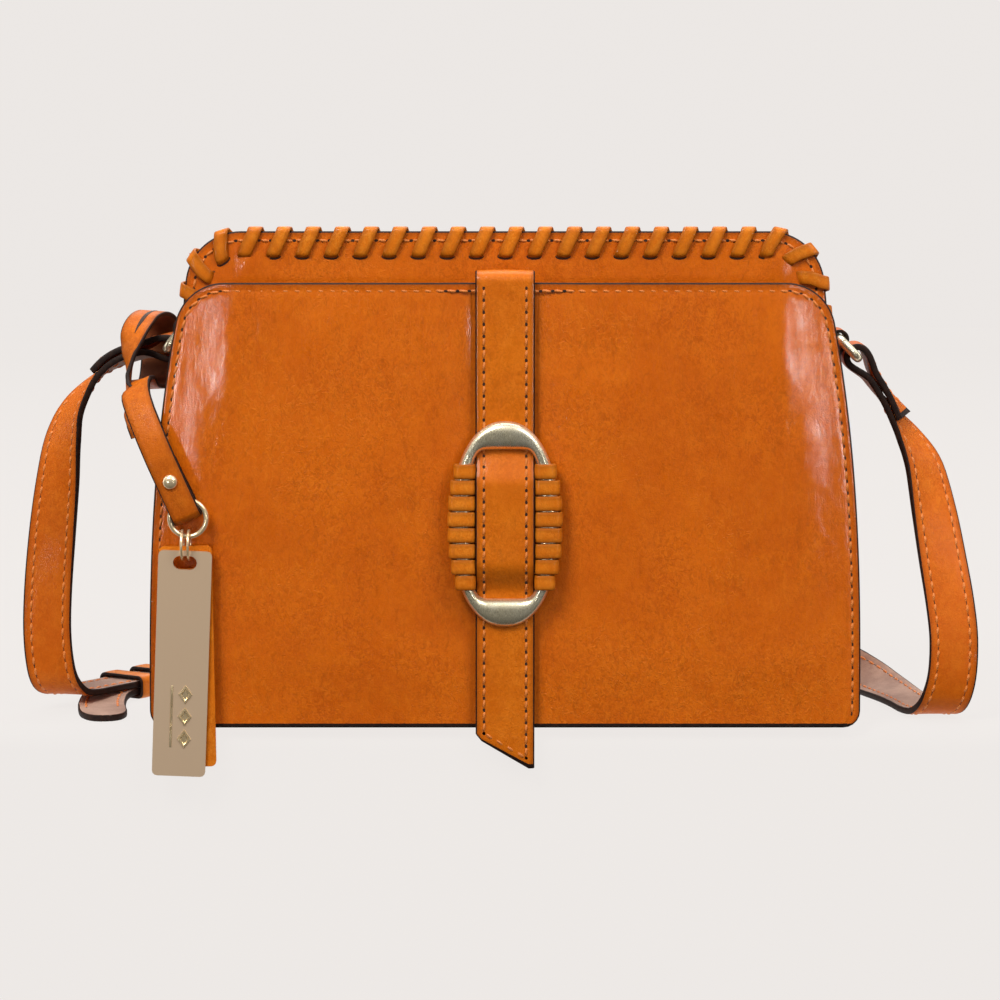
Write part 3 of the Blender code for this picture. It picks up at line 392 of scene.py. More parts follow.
def smoothstep(value):
    value = min(max(value, 0.0), 1.0)
    return value * value * (3 - 2 * value)


def rise(value, start, length):
    """Grows from 0 to 1 over a length in mm, from a start in mm."""
    return smoothstep((value - start * MM) / (length * MM))


def wave(x, z, seed, size):
    return noise.noise(Vector((x / size, z / size, seed)))


def circle(centre, u, v, sides):
    """Even points round a centre, where u and v are its two radii."""
    return [centre + u * cos(tau * j / sides) + v * sin(tau * j / sides) for j in range(sides)]


def square_to(wide, along):
    return (wide - along * wide.dot(along)).normalized()


def spline(rows, steps):
    """Catmull-Rom samples through rows of numbers, both ends included."""
    samples = []
    last = len(rows) - 1
    for i in range(last):
        a, b, c, d = rows[max(i - 1, 0)], rows[i], rows[i + 1], rows[min(i + 2, last)]
        for k in range(steps):
            t = k / steps
            samples.append([
                0.5 * (2 * q + (r - p) * t + (2 * p - 5 * q + 4 * r - s) * t * t
                       + (3 * q - p - 3 * r + s) * t ** 3)
                for p, q, r, s in zip(a, b, c, d)])
    samples.append(list(rows[last]))
    return samples


def tangent_at(points, i, closed=False):
    if closed:
        return (points[(i + 1) % len(points)] - points[i - 1]).normalized()
    return (points[min(i + 1, len(points) - 1)] - points[max(i - 1, 0)]).normalized()


def round_section(width, thick, bevel, crown=0.0, stitch=None):
    """Section of a leather strip as (across, up, slot), with slot 0 on the face, 1 on the edges and
    2 on the back. A stitch line presses a channel into both faces."""
    half, high = width / 2, thick / 2
    places = {0.0, 0.35 * half, 0.62 * half, half - bevel}
    if stitch:
        places |= {half - stitch - 0.9 * MM, half - stitch, half - stitch + 0.9 * MM}
    places = sorted(places)
    across = [-a for a in places[:0:-1]] + places

    def dome(a):
        return crown * (1 - (a / half) ** 2)

    def lift(a):
        dip = 0.12 * MM * exp(-((abs(a) - half + stitch) / (0.6 * MM)) ** 2) if stitch else 0.0
        return high + dome(a) - dip

    corner = [(half - 0.3 * bevel, high - 0.3 * bevel), (half, high - bevel)]
    edge = corner + [(a, -b) for a, b in reversed(corner)]
    face = [(a, lift(a), 1 if a == across[0] else 0) for a in reversed(across)]
    back = [(a, dome(a) - lift(a), 1 if a == across[-1] else 2) for a in across]
    return face + [(-a, b, 1) for a, b in edge] + back + [(a, b, 1) for a, b in reversed(edge)]


def parts_of(section):
    return [part for _, _, part in section]


def strip(line, section, scale=None, slots=None, closed=False, shape=None):
    """Sweeps a section along places given as (point, width direction, outward)."""
    rings, points = [], [place for place, _, _ in line]
    width = max(abs(a) for a, _, _ in section)
    wear = [smoothstep(1 - (width - abs(a)) / (2.2 * MM)) for a, _, _ in section]
    for i, (place, wide, out) in enumerate(line):
        along = tangent_at(points, i, closed)
        wide = square_to(wide, along)
        out = (out - along * out.dot(along) - wide * out.dot(wide)).normalized()
        size = scale[i] if scale else 1.0
        rings.append([place + wide * a * size + out * b for a, b, _ in section])
    return (shape or Shape()).tube(rings, parts_of(section) if slots is None else slots, wear, closed)


def around(path, wide, turn, closed=True):
    """Places along a path whose outward direction is the path's own crossed with turn."""
    return [(place, wide, tangent_at(path, i, closed).cross(turn)) for i, place in enumerate(path)]


def wire(path, normal, radius):
    """A wire bent along a closed flat path."""
    rings = []
    for i, point in enumerate(path):
        across = normal.cross(tangent_at(path, i, True)).normalized()
        rings.append(circle(point, across * radius, normal * radius, 14))
    return Shape().tube(rings, closed=True)


def rounded_loop(centre, u, v, half_u, half_v, radius, steps=8):
    """Closed path of a rounded rectangle in the plane of u and v."""
    path = []
    for su, sv, start in ((1, 1, 0), (-1, 1, 90), (-1, -1, 180), (1, -1, 270)):
        for step in range(steps + 1):
            angle = radians(start + 90 * step / steps)
            point = centre + u * ((half_u - radius) * su + radius * cos(angle)) \
                + v * ((half_v - radius) * sv + radius * sin(angle))
            if not path or (point - path[-1]).length > 1e-5:
                path.append(point)
    if (path[0] - path[-1]).length < 1e-5:
        path.pop()
    return path


def resample(line, step):
    """Even places (point, outward, along) on a line of (point, outward)."""
    lengths = [0.0]
    for (a, _), (b, _) in zip(line, line[1:]):
        lengths.append(lengths[-1] + (b - a).length)
    count = max(int(round(lengths[-1] / step)), 1)
    places, i = [], 0
    for k in range(count + 1):
        target = lengths[-1] * k / count
        while i < len(line) - 2 and lengths[i + 1] < target:
            i += 1
        t = (target - lengths[i]) / max(lengths[i + 1] - lengths[i], 1e-9)
        (a, out_a), (b, out_b) = line[i], line[i + 1]
        places.append((a.lerp(b, t), out_a.lerp(out_b, t).normalized(), (b - a).normalized()))
    return places


STITCH_PITCH = 4.2 * MM
THREAD_RADIUS = 0.48 * MM
THREAD_SLANT = 0.16 * MM
THREAD_HUMP = [(-0.22, 0.55), (0.10, 0.95), (0.22, 1.0), (0.10, 0.95), (-0.22, 0.55)]
HOLE_RADIUS = 0.52 * MM


def stitches(shape, line):
    """Thread humps between needle holes along a line of (point, outward): slot 0 thread, 1 a dark disc of
    painted shade in each hole.
    """
    places = resample(line, STITCH_PITCH)
    for (a, out, along), (b, out_b, _) in zip(places, places[1:]):
        side = along.cross(out).normalized()
        start, end = a.lerp(b, 0.13) - side * THREAD_SLANT, a.lerp(b, 0.87) + side * THREAD_SLANT
        rings = []
        for i, (lift, size) in enumerate(THREAD_HUMP):
            up = out.lerp(out_b, i / 4).normalized()
            rings.append(circle(start.lerp(end, i / 4) + up * lift * MM, side * THREAD_RADIUS * size,
                                up * THREAD_RADIUS * size * 0.8, 6))
        shape.tube(rings)
    # Each needle hole is a small dark disc: painted shade.
    for place, out, along in places:
        side = along.cross(out).normalized() * HOLE_RADIUS
        shape.tube([circle(place + out * lift * MM, along * 1.3 * HOLE_RADIUS, side, 8)
                    for lift in (-0.25, 0.035)], 1)


def make_stitches(name, lines, body=None, parent=None):
    shape = Shape()
    for line in lines:
        stitches(shape, line)
    obj = make(name, shape, [THREAD, HOLE_SHADE], body)
    if parent:
        obj.parent = parent
    return obj


# ---- panel outlines

def outline_of(node, **values):
    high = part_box(node)[1]
    return dict(values, half=high.x, height=high.z)


WALL = 1.8 * MM
POCKET = outline_of("front_pocket_panel", drop=8.6 * MM, drop_at=135 * MM, power=2.7, corner=18 * MM,
                    foot=6 * MM)
MAIN = outline_of("main_front_panel", drop=8.2 * MM, drop_at=158 * MM, power=2.0, corner=20 * MM,
                  foot=4 * MM)
BACK = dict(MAIN, height=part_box("back_panel")[1].z)
BODY = dict(MAIN, half=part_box("main_gusset")[1].x, height=166 * MM, corner=22 * MM, foot=3 * MM)
STITCH_IN = 2.9 * MM


def half_width(shape, z):
    return shape["half"] - shape["drop"] * (max(z, 0) / shape["drop_at"]) ** shape["power"]


def shoulder(shape):
    """Height where the corner arc starts from, its lean there and the x of its centre."""
    reach = shape["height"] - shape["corner"]
    slope = shape["drop"] * shape["power"] / shape["drop_at"] \
        * (reach / shape["drop_at"]) ** (shape["power"] - 1)
    lean = atan(slope)
    z = reach + shape["corner"] * sin(lean)
    return reach, lean, half_width(shape, z) - shape["corner"] * cos(lean)


def width_at(shape, z, inset=0.0):
    """Half width at a height, with the outline moved inwards."""
    foot, corner = shape["foot"], shape["corner"]
    if z < foot:
        return shape["half"] - foot + sqrt(max((foot - inset) ** 2 - (foot - z) ** 2, 0))
    reach, lean, centre = shoulder(shape)
    if z > reach + (corner - inset) * sin(lean):
        return centre + sqrt(max((corner - inset) ** 2 - (z - reach) ** 2, 0))
    return half_width(shape, z) - inset / cos(lean)


def row_heights(shape, inset, straight=64, arc_steps=18):
    """Heights of the rows of a panel: close in the foot and corner arcs, even between them."""
    foot, corner, height = shape["foot"], shape["corner"], shape["height"]
    reach = height - corner
    rows = [foot - (foot - inset) * cos(radians(90 * i / 5)) for i in range(5)]
    rows += [foot + (reach - foot) * i / straight for i in range(straight)]
    rows += [reach + (corner - inset) * sin(radians(90 * i / arc_steps))
             for i in range(arc_steps + 1)]
    return rows


def edge_distance(shape, x, z):
    """Distance from the side and top edges, 0 on the outline."""
    reach, _, centre = shoulder(shape)
    x = abs(x)
    if x > centre and z > reach:
        return shape["corner"] - hypot(x - centre, z - reach)
    return min(width_at(shape, z) - x, shape["height"] - z)


def channel(shape, x, z):
    """The stitch line presses the leather in a little."""
    return -0.16 * MM * exp(-((edge_distance(shape, x, z) - STITCH_IN) / (0.8 * MM)) ** 2)


def outline_path(shape, inset, low):
    """Points (x, z) from the lower left edge over the top to the lower right, inside the outline."""
    right = [(width_at(shape, z, inset), z) for z in row_heights(shape, inset) if z >= low]
    return [(-x, z) for x, z in right] + list(reversed(right))


COLUMN_STEPS = [0, 0.8, 1.7, 2.4, 2.9, 3.4, 4.2, 6, 8.5, 11, 14, 17, 20, 23]


def make_panel(name, shape, face, turn, relief, fine, node):
    """A bent sheet with painted, rounded edges. Turn is -1 when its face looks forward."""
    half = shape["half"]
    inner = [1 - step * MM / half for step in COLUMN_STEPS]
    count = int(inner[-1] * half / fine)
    inner += [inner[-1] * (1 - i / count) for i in range(1, count + 1)]
    columns = [-u for u in inner] + list(reversed(inner[:-1]))
    bevel = 0.55 * MM
    built = Shape()

    def point(i, j, inset, depth, rows):
        z = rows[i]
        x = columns[j] * width_at(shape, z, inset)
        return Vector((x, face + turn * (relief(x, z) - depth), z))

    grids = []
    rows = row_heights(shape, bevel)
    for depth in (0.0, WALL):
        start = len(built.points)
        for i in range(len(rows)):
            ring = [point(i, j, bevel, depth, rows) for j in range(len(columns))]
            built.add(ring, [smoothstep(1 - edge_distance(shape, p.x, p.z) / (2.6 * MM)) for p in ring])
        grids.append(start)
    wide, tall = len(columns), len(rows)
    for side, start in enumerate(grids):
        for i in range(tall - 1):
            for j in range(wide - 1):
                a = start + i * wide + j
                built.face((a, a + 1, a + wide + 1, a + wide), 1 if i <= 1 else 2 * side)
    rim = [(0, j) for j in range(wide)] + [(i, wide - 1) for i in range(1, tall)] \
        + [(tall - 1, j) for j in reversed(range(wide - 1))] + [(i, 0) for i in reversed(range(1, tall - 1))]
    loops = [[grids[0] + i * wide + j for i, j in rim]]
    for inset, depth in ((0.25 * bevel, 0.14 * WALL), (0.0, 0.38 * WALL), (0.0, 0.62 * WALL),
                         (0.25 * bevel, 0.86 * WALL)):
        level = row_heights(shape, inset)
        start = built.add([point(i, j, inset, depth, level) for i, j in rim], 0.6)
        loops.append(list(range(start, start + len(rim))))
    loops.append([grids[1] + i * wide + j for i, j in rim])
    for a, b in zip(loops, loops[1:]):
        for k in range(len(rim)):
            m = (k + 1) % len(rim)
            built.face((a[k], a[m], b[m], b[k]), 1)
    return make(name, built, HIDE, "bag", [node])


# ---- panels

# Soft upright ridges: x, z, half width, half length and height, all in mm.
POCKET_RIDGES = [(-98, 133, 4.5, 15, 0.75), (98.5, 137, 4.5, 16, 0.75), (-84, 147, 3.5, 9, 0.35),
                 (86, 149, 3.5, 8, 0.30), (-14.8, 143, 2.6, 14, 0.62), (15.5, 146, 2.6, 10, 0.25),
                 (-60, 148, 5, 8, 0.25), (54, 149, 5, 8, 0.25), (-109, 96, 4, 24, 0.30),
                 (108, 92, 4, 26, 0.30)]
MAIN_RIDGES = [(-91, 166, 3.2, 6, 0.85), (98, 166, 3.2, 6, 0.85)]


def ridge(x, z, at_x, at_z, wide, tall, size):
    return size * MM * exp(-((x - at_x * MM) / (wide * MM)) ** 2 - ((z - at_z * MM) / (tall * MM)) ** 2)


def add_creases(obj):
    """Marks where fine upright wrinkles show: under the top edge and up the sides."""
    layer = obj.data.attributes.new("crease", "FLOAT", "POINT")
    values = []
    for vertex in obj.data.vertices:
        x, _, z = vertex.co
        top = rise(z, 106, 42)
        sides = rise(abs(x), 70, 40) * rise(z, 20, 80)
        values.append(min(1.0, 0.15 + top * (0.55 + 0.45 * wave(x, z, 4.4, 20 * MM)) + 0.35 * sides))
    layer.data.foreach_set("value", values)


def pocket_relief(x, z):
    """The pocket front is a little full, lies flat under the tab and is soft at its upper corners."""
    side = width_at(POCKET, min(z, POCKET["height"] - POCKET["corner"])) - abs(x)
    plateau = rise(side, 0, 26)
    full = plateau * rise(z, 0, 28) * (0.45 + 0.55 * rise(z, 30, 100))
    middle = 1 - 0.9 * exp(-(x / (19 * MM)) ** 4)
    soft = plateau * middle * rise(z, 0, 14)
    swell = 2.0 * MM * full * middle
    swell += soft * (0.30 * MM * wave(x, z, 3.1, 46 * MM) + 0.10 * MM * wave(x, z, 7.7, 15 * MM))
    top = rise(z, 112, 40)
    swell += soft * top * 0.07 * MM * wave(x * 5, z, 11.3, 17 * MM)
    swell += sum(ridge(x, z, *row) for row in POCKET_RIDGES)
    return swell + channel(POCKET, x, z)


def main_relief(x, z):
    fade = smoothstep((178 * MM - z) / (30 * MM))
    return 0.25 * MM * fade * wave(x, z, 5.5, 50 * MM) + sum(ridge(x, z, *row) for row in MAIN_RIDGES)


def back_relief(x, z):
    side = smoothstep((width_at(BACK, min(z, 150 * MM)) - abs(x)) / (30 * MM))
    full = side * rise(z, 0, 24) * smoothstep((BACK["height"] - z) / (24 * MM))
    return 2.4 * MM * full + 0.4 * MM * full * wave(x, z, 2.2, 55 * MM) + channel(BACK, x, z)


def make_panels():
    for name, node, shape, turn, relief, fine, seam, low, inset in (
            ("pocket_front", "front_pocket_panel", POCKET, -1, pocket_relief, 2.2, "pocket", 5, STITCH_IN),
            ("laced_front", "main_front_panel", MAIN, -1, main_relief, 4, "rim", 150, 3.3 * MM),
            ("back", "back_panel", BACK, 1, back_relief, 3.5, "back", 5, STITCH_IN)):
        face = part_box(node)[(turn + 1) // 2].y
        panel = make_panel(name, shape, face, turn, relief, fine * MM, node)
        if name == "pocket_front":
            add_creases(panel)
        out = Vector((0, turn, 0))
        line = [(Vector((x, face + turn * relief(x, z), z)), out)
                for x, z in outline_path(shape, inset, low * MM)]
        make_stitches(seam + "_stitches", [line], "bag")


def gusset_rings(shape, top, y0, y1, thick, fold, columns=16):
    """Rings across a gusset that runs down one side, under the bag and up the other."""
    right = [(width_at(shape, z), z) for z in row_heights(shape, 0.0, 40, 10) if z < top]
    if shape["height"] > top:
        right.append((width_at(shape, top), top))
    path = [Vector((-x, 0, z)) for x, z in reversed(right)]
    path += [Vector((path[-1].x * (1 - 2 * k / 24), 0, 0)) for k in range(1, 24)]
    path += [Vector((x, 0, z)) for x, z in right]
    rings = []
    for i, place in enumerate(path):
        along = tangent_at(path, i)
        inward = Vector((-along.z, 0, along.x))
        depth = fold * rise(place.z, 8, 40)
        outer, inner = [], []
        for k in range(columns + 1):
            t = k / columns
            y = y0 + (y1 - y0) * t
            ripple = 0.25 * wave(y, place.z, 9.1 + copysign(2, place.x), 22 * MM)
            sink = max(depth * sin(pi * t) * (sin(pi * t) + ripple), 0)
            outer.append(place + inward * sink + DEPTH * y)
            inner.append(place + inward * (sink + thick) + DEPTH * y)
        rings.append(outer + list(reversed(inner)))
    return rings


def make_gussets():
    for name, node, shape, top, fold in (
            ("pocket_side", "pocket_gusset", dict(POCKET, half=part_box("pocket_gusset")[1].x, foot=3 * MM),
             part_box("pocket_gusset")[1].z, 2.2 * MM),
            ("body_side", "main_gusset", BODY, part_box("main_gusset")[1].z, 0.7 * MM)):
        low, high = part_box(node)
        columns = 16
        rings = gusset_rings(shape, top, low.y, high.y, 1.4 * MM, fold, columns)
        built = Shape().tube(rings, [0] * columns + [1] + [2] * columns + [1])
        make(name, built, HIDE, "bag", [node])


# ---- lace along the rim

LACE_WIDTH = 4.9 * MM
LACE_THICK = 1.0 * MM
LACE_LIFT = 0.5 * MM
LACE_PITCH = 10.35 * MM
LACE_TURNS = 12
LACE_HOLE = 8.9 * MM


def rim_point(distance):
    """Point on the rim and its inward direction. The distance is measured halfway down the lace."""
    reach, lean, centre = shoulder(MAIN)
    corner, left, sign = MAIN["corner"], abs(distance), 1 if distance >= 0 else -1
    if left <= centre:
        point, inward = Vector((left, 0, MAIN["height"])), Vector((0, 0, -1))
    else:
        radius = corner - LACE_HOLE / 2
        angle = min((left - centre) / radius, pi / 2 - lean)
        out = Vector((sin(angle), 0, cos(angle)))
        down = left - centre - radius * angle
        point = Vector((centre, 0, reach)) + out * corner + Vector((out.z, 0, -out.x)) * down
        inward = -out
    return Vector((point.x * sign, 0, point.z)), Vector((inward.x * sign, 0, inward.z))


def lace_stations(face):
    """Shift along the rim, depth below it, place across the wall, outward (across, out) in each turn, mm."""
    hole, out = LACE_HOLE / MM, (LACE_LIFT + LACE_THICK / 2) / MM
    front, back, middle = face / MM - out, (face + WALL) / MM + out, (face + WALL / 2) / MM
    return [(0, hole, middle, 0, -1), (0.1, 8.3, front + 0.5, -1, -0.9), (0.5, 7.2, front, -1, -0.15),
            (1.6, 4.6, front - 0.15, -1, 0), (3.2, 1.2, front, -1, 0.15), (3.8, -0.6, front + 0.3, -1, 1),
            (4.2, -out, middle, 0, 1), (4.5, -0.6, back - 0.3, 1, 1), (5.0, 1.0, back, 1, 0.1),
            (7.4, 4.6, back, 1, 0), (9.8, 7.4, back, 1, -0.3)]


def make_lace():
    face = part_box("main_front_panel")[0].y
    stations = lace_stations(face)
    runs = [(-LACE_TURNS - 1, stations[9:])]
    runs += [(turn, stations) for turn in range(-LACE_TURNS, LACE_TURNS)]
    runs += [(LACE_TURNS, stations[:9])]
    rows = []
    for turn, part in runs:
        for shift, depth, y, across, outward in part:
            jitter = 0.12 * wave(turn * 3.7, depth * 40 * MM, 1.0, 1.0)
            point, inward = rim_point(turn * LACE_PITCH + (shift + jitter) * MM)
            place = point + inward * depth * MM + DEPTH * y * MM
            out = (DEPTH * across - inward * outward).normalized()
            rows.append([*place, *out])
    samples = spline(rows, 3)
    points = [Vector(row[:3]) for row in samples]
    line = []
    for i, row in enumerate(samples):
        out = Vector(row[3:]).normalized()
        line.append((points[i], tangent_at(points, i).cross(out).normalized(), out))
    section = round_section(LACE_WIDTH, LACE_THICK, 0.35 * MM, 0.22 * MM)
    make("rim_lace", strip(line, section, slots=0), [LACE_LEATHER], "bag", ["whip_lace"])

    # Dark ovals at each lace slot: painted shade inside the slots.
    slots = Shape()
    for turn in range(-LACE_TURNS, LACE_TURNS + 1):
        point, inward = rim_point(turn * LACE_PITCH)
        along = Vector((-inward.z, 0, inward.x))
        centre = point + inward * (LACE_HOLE + 0.1 * MM)
        slots.tube([circle(centre + DEPTH * y, along * 2.75 * MM * size, inward * 1.15 * MM * size, 16)
                    for y, size in ((face + 0.5 * MM, 0.9), (face - 0.06 * MM, 1.0))])
    make("lace_holes_painted_shade", slots, [HOLE_SHADE], "bag")


# ---- closure tab and ring

FOLD_Y = -31.15 * MM
FOLD_Z = 159.7 * MM
FOLD_RADIUS = 3.15 * MM
TAB_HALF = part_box("closure_tab")[1].x
TAB_FACE = -35.2 * MM
TAB_THICK = 1.8 * MM
TAB_TIP_LEFT = -2.9 * MM
TAB_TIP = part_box("closure_tab")[0].z
TAB_STRAIGHT = 6 * MM
TAB_FOOT = 130 * MM
TAB_ROWS = 150
TIP_ROWS = 12
TAB_STITCHES = 7.5 * MM
TAB_SEAM_FROM = 30
RING_Z = (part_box("oval_ring")[0].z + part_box("oval_ring")[1].z) / 2


def tip_z(across):
    """Height of the slanting tip at a place across the tab."""
    return TAB_TIP_LEFT + (TAB_TIP - TAB_TIP_LEFT) * (across / TAB_HALF + 1) / 2


def tab_face(z):
    """The tab bulges forward where it shows inside the ring."""
    return TAB_FACE - 4.6 * MM * rise(z, 49, 12) * smoothstep((100 * MM - z) / (12 * MM))


def make_tab():
    anchor_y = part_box("tab_anchor")[1].y - TAB_THICK / 2
    path = [Vector((0, anchor_y, TAB_FOOT + (FOLD_Z - TAB_FOOT) * i / 12)) for i in range(12)]
    for angle in (radians(180 * i / 16) for i in range(16)):
        path.append(Vector((0, FOLD_Y + FOLD_RADIUS * cos(angle), FOLD_Z + FOLD_RADIUS * sin(angle))))
    for i in range(TAB_ROWS + 1):
        z = FOLD_Z + (TAB_STRAIGHT - FOLD_Z) * i / TAB_ROWS
        settle = smoothstep((FOLD_Z - z) / (14 * MM))
        y = (FOLD_Y - FOLD_RADIUS) * (1 - settle) + (tab_face(z) + TAB_THICK / 2) * settle
        path.append(Vector((0, y, z)))
    section = round_section(2 * TAB_HALF, TAB_THICK, 0.5 * MM, 0.25 * MM, 3.0 * MM)
    wear = [smoothstep(1 - (TAB_HALF - abs(a)) / (2.4 * MM)) for a, _, _ in section]
    outs = []
    for i in range(len(path)):
        along = tangent_at(path, i)
        outs.append(Vector((0, along.z, -along.y)))
    rings = [[place + SIDE * a + out * b for a, b, _ in section] for place, out in zip(path, outs)]
    for t in (i / TIP_ROWS for i in range(1, TIP_ROWS + 1)):
        flat = 1 - 5.0 * max(t - 0.9, 0)
        ring = []
        for a, b, _ in section:
            round_off = 1.6 * MM * max(0, abs(a) / TAB_HALF - 0.85) * 6 * t
            z = TAB_STRAIGHT + (tip_z(a) - TAB_STRAIGHT) * t + (round_off if t > 0.5 else 0)
            ring.append(Vector((a, path[-1].y - b * flat, z)))
        rings.append(ring)
    slots = parts_of(section)
    built = Shape().tube(rings, lambda i, j: 1 if i >= len(rings) - 2 else slots[j], wear)
    tab = make("tab", built, [TAB_LEATHER, PAINT, FLESH], None,
               ["closure_tab", "tab_anchor"])

    lines = []
    for a in (-TAB_STITCHES, TAB_STITCHES):
        line = [(place + SIDE * a + outs[i] * (TAB_THICK / 2 + 0.04 * MM), outs[i])
                for i, place in enumerate(path) if i >= TAB_SEAM_FROM]
        line.append((Vector((a, line[-1][0].y, tip_z(a) + 3.4 * MM)), FRONT))
        lines.append(line)
    lines.append([lines[0][-1], lines[1][-1]])
    for obj in (tab, make_stitches("tab_stitches", lines)):
        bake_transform(obj)


RING_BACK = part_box("oval_ring")[1].y
RING_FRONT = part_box("oval_ring")[0].y
RING_HALF = (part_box("oval_ring")[1].x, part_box("oval_ring")[1].z - RING_Z)
RING_HOLE = (11.5 * MM, 26.6 * MM)
RING_TURNS = 8
RING_PITCH = 5.66 * MM


def squarish(angle, half_x, half_z, power):
    c, s = cos(angle), sin(angle)
    return Vector((half_x * copysign(abs(c) ** power, c), 0, half_z * copysign(abs(s) ** power, s)))


def make_ring():
    steps, across = 144, 12
    rings = []
    for i in range(steps):
        outer = squarish(tau * i / steps, *RING_HALF, 0.91)
        hole = squarish(tau * i / steps, *RING_HOLE, 0.30)
        ring = []
        for k in range(across + 1):
            v = k / across
            dome = 0.30 + 0.70 * (1 - abs(2 * v - 1) ** 3.2) - (0.10 if v in (0.0, 1.0) else 0.0)
            place = hole.lerp(outer, v)
            ring.append(Vector((place.x, RING_BACK - (RING_BACK - RING_FRONT) * dome, RING_Z + place.z)))
        ring += [Vector((place.x, RING_BACK, RING_Z + place.z)) for place in (outer, hole)]
        rings.append(ring)
    make("oval_ring_brushed", Shape().tube(rings, closed=True), [BRASS], "tab", ["oval_ring"],
         smooth=50)

    section = round_section(5.25 * MM, LACE_THICK, 0.40 * MM, 0.12 * MM)
    clear = 0.1 * MM + LACE_THICK / 2
    inner, front, back = RING_HOLE[0] - clear + 0.1 * MM, RING_FRONT - clear, RING_BACK + clear
    for name, sign in (("left", -1), ("right", 1)):
        wraps = Shape()
        for turn in range(RING_TURNS):
            level = RING_Z - 0.8 * MM + RING_PITCH * ((RING_TURNS - 1) / 2 - turn)
            widest = max(abs(level - RING_Z) - 2.2 * MM, 0) / RING_HALF[1]
            outer = RING_HALF[0] * sqrt(1 - widest ** 2) + clear
            tilt = 0.035 * wave(turn * 2.3, sign * 5.0, 4.0, 1.0)
            centre = Vector(((outer + inner) / 2 * sign, (front + back) / 2, level))
            path = rounded_loop(centre, Vector((sign, 0, tilt)), DEPTH, (outer - inner) / 2,
                                (back - front) / 2, 1.3 * MM, 6)
            strip(around(path, UP, UP * sign), section, slots=0, closed=True, shape=wraps)
        make("ring_wraps_" + name, wraps, [LACE_LEATHER], "tab", ["ring_lace_" + name])


# ---- straps

STRAP_WIDTH = 17.5 * MM
STRAP_THICK = 2.4 * MM
PLY_OFFSET = 1.4 * MM
LOOP_RADIUS = 3.9 * MM
DOUBLED = 30 * MM
BUCKLE_WIRE = 1.1 * MM
BUCKLE_LOOP = BUCKLE_WIRE + 0.5 * MM + STRAP_THICK / 2
BUCKLE_REACH = 9 * MM
STRAP_RUN = Vector((-15.0, -22.0, 0)).normalized()

SHORT_ROUTE = [
    (-122.3, 7, 134.0, 0, -1, 0), (-127.5, 7, 133.7, 0, -1, 0.1), (-133.5, 7, 132.6, 0, -1, 0.15),
    (-140, 7, 130.5, 0.03, -1, 0.17), (-146.5, 7, 126.8, 0.12, -1, 0.15), (-152.8, 7, 120.6, 0.3, -1, 0.1),
    (-158.1, 6.8, 111.3, 0.6, -1, 0), (-161.6, 6.2, 99, 1, -0.8, 0), (-163.4, 5.4, 85.3, 1, -0.45, 0),
    (-165.4, 4.5, 67.6, 1, -0.2, 0), (-167.1, 3.4, 47.9, 1, -0.05, 0), (-167.7, 2.4, 32, 1, 0, 0),
    (-167, 2.2, 20, 1, 0, 0), (-165.4, 4.0, 12, 1, -0.05, 0), (-162, 9, 7.2, 1, -0.2, 0),
    (-158, 16, 5.8, 1, -0.4, 0), (-152.5, 24.5, 5.65, 0.9, -0.55, 0), (-145.5, 34.2, 5.65, 0.84, -0.55, 0),
    (-138, 45.2, 5.65, 0.83, -0.56, 0), (-130.5, 56.2, 5.65, 0.83, -0.56, 0),
    (-124.9, 64.5, 5.8, 0.83, -0.56, 0), (-121.5, 69.5, 6.0, 0.83, -0.56, 0)]
# Behind the bag the long strap lies flat in folds, given as (x, y).
FLAT_FOLDS = [(60, 66.5), (10, 64), (-40, 65), (-76, 68), (-92, 76), (-98, 88), (-92, 100), (-76, 107),
              (-30, 108), (20, 106), (70, 108), (86, 116), (92, 128), (86, 140), (70, 147), (20, 149),
              (-40, 147), (-90, 145), (-110, 138)]
LONG_ROUTE = [
    (127.8, 7, 130.7, 0, 1, 0), (132.3, 7, 124.9, 0.02, 1, -0.1), (137.6, 7, 117.6, 0.12, 1, -0.14),
    (143.4, 6.6, 109.5, 0.35, 1, -0.1), (148.8, 5.4, 101.3, 0.7, 1, 0), (152.9, 2.6, 91, 1, 0.75, 0),
    (156.1, -3, 74.5, 1, 0.35, 0), (158.7, -9, 57.7, 1, 0.12, 0), (160.9, -14, 42.9, 1, 0, 0),
    (162, -17.6, 30, 1, 0, 0), (161.4, -18.8, 17, 1, 0, 0), (159.2, -17, 8, 1, 0, 0),
    (156.2, -10.8, 3.1, 1, 0.05, 0), (153.2, -1, 1.8, 1, 0.15, 0), (150, 12, 2.2, 1, 0.2, 0.02),
    (146.2, 26, 2.9, 1, 0.25, 0.12), (141.8, 40, 4.0, 1, 0.45, 0.35), (136, 51.5, 6.2, 0.85, 0.5, 0.65),
    (127.5, 60, 8.6, 0.45, 0.3, 1), (115, 65, 9.1, 0.1, 0.05, 1), (98, 66.8, 9.0, 0, 0, 1),
    *((x, y, 9.0, 0, 0, 1) for x, y in FLAT_FOLDS),
    (-119, 125, 9.1, -0.1, 0, 1), (-120.4, 112, 8.4, -0.7, 0, 1), (-118, 100, 5.8, -1, 0, 0.5),
    (-114.8, 90.5, 4.9, -1, 0.3, 0.1), (-113.4, 84.0, 5.2, -0.83, 0.56, 0),
    (-115.9, 79.8, 4.4, -0.83, 0.56, 0), (-119, 74.2, 2.2, -0.83, 0.56, 0),
    (-123.0, 67.4, 2.3, -0.83, 0.56, 0), (-130.5, 56.2, 2.85, -0.83, 0.56, 0),
    (-138, 45.2, 2.85, -0.83, 0.56, 0), (-145.5, 34.2, 2.85, -0.83, 0.56, 0),
    (-148.8, 24, 2.3, -0.9, 0.4, 0), (-149, 12, 1.3, -0.98, 0.15, 0), (-147.6, 0, 1.25, -1, 0, 0),
    (-145.8, -10, 1.25, -1, -0.1, 0), (-144.2, -18, 1.25, -1, -0.15, 0)]


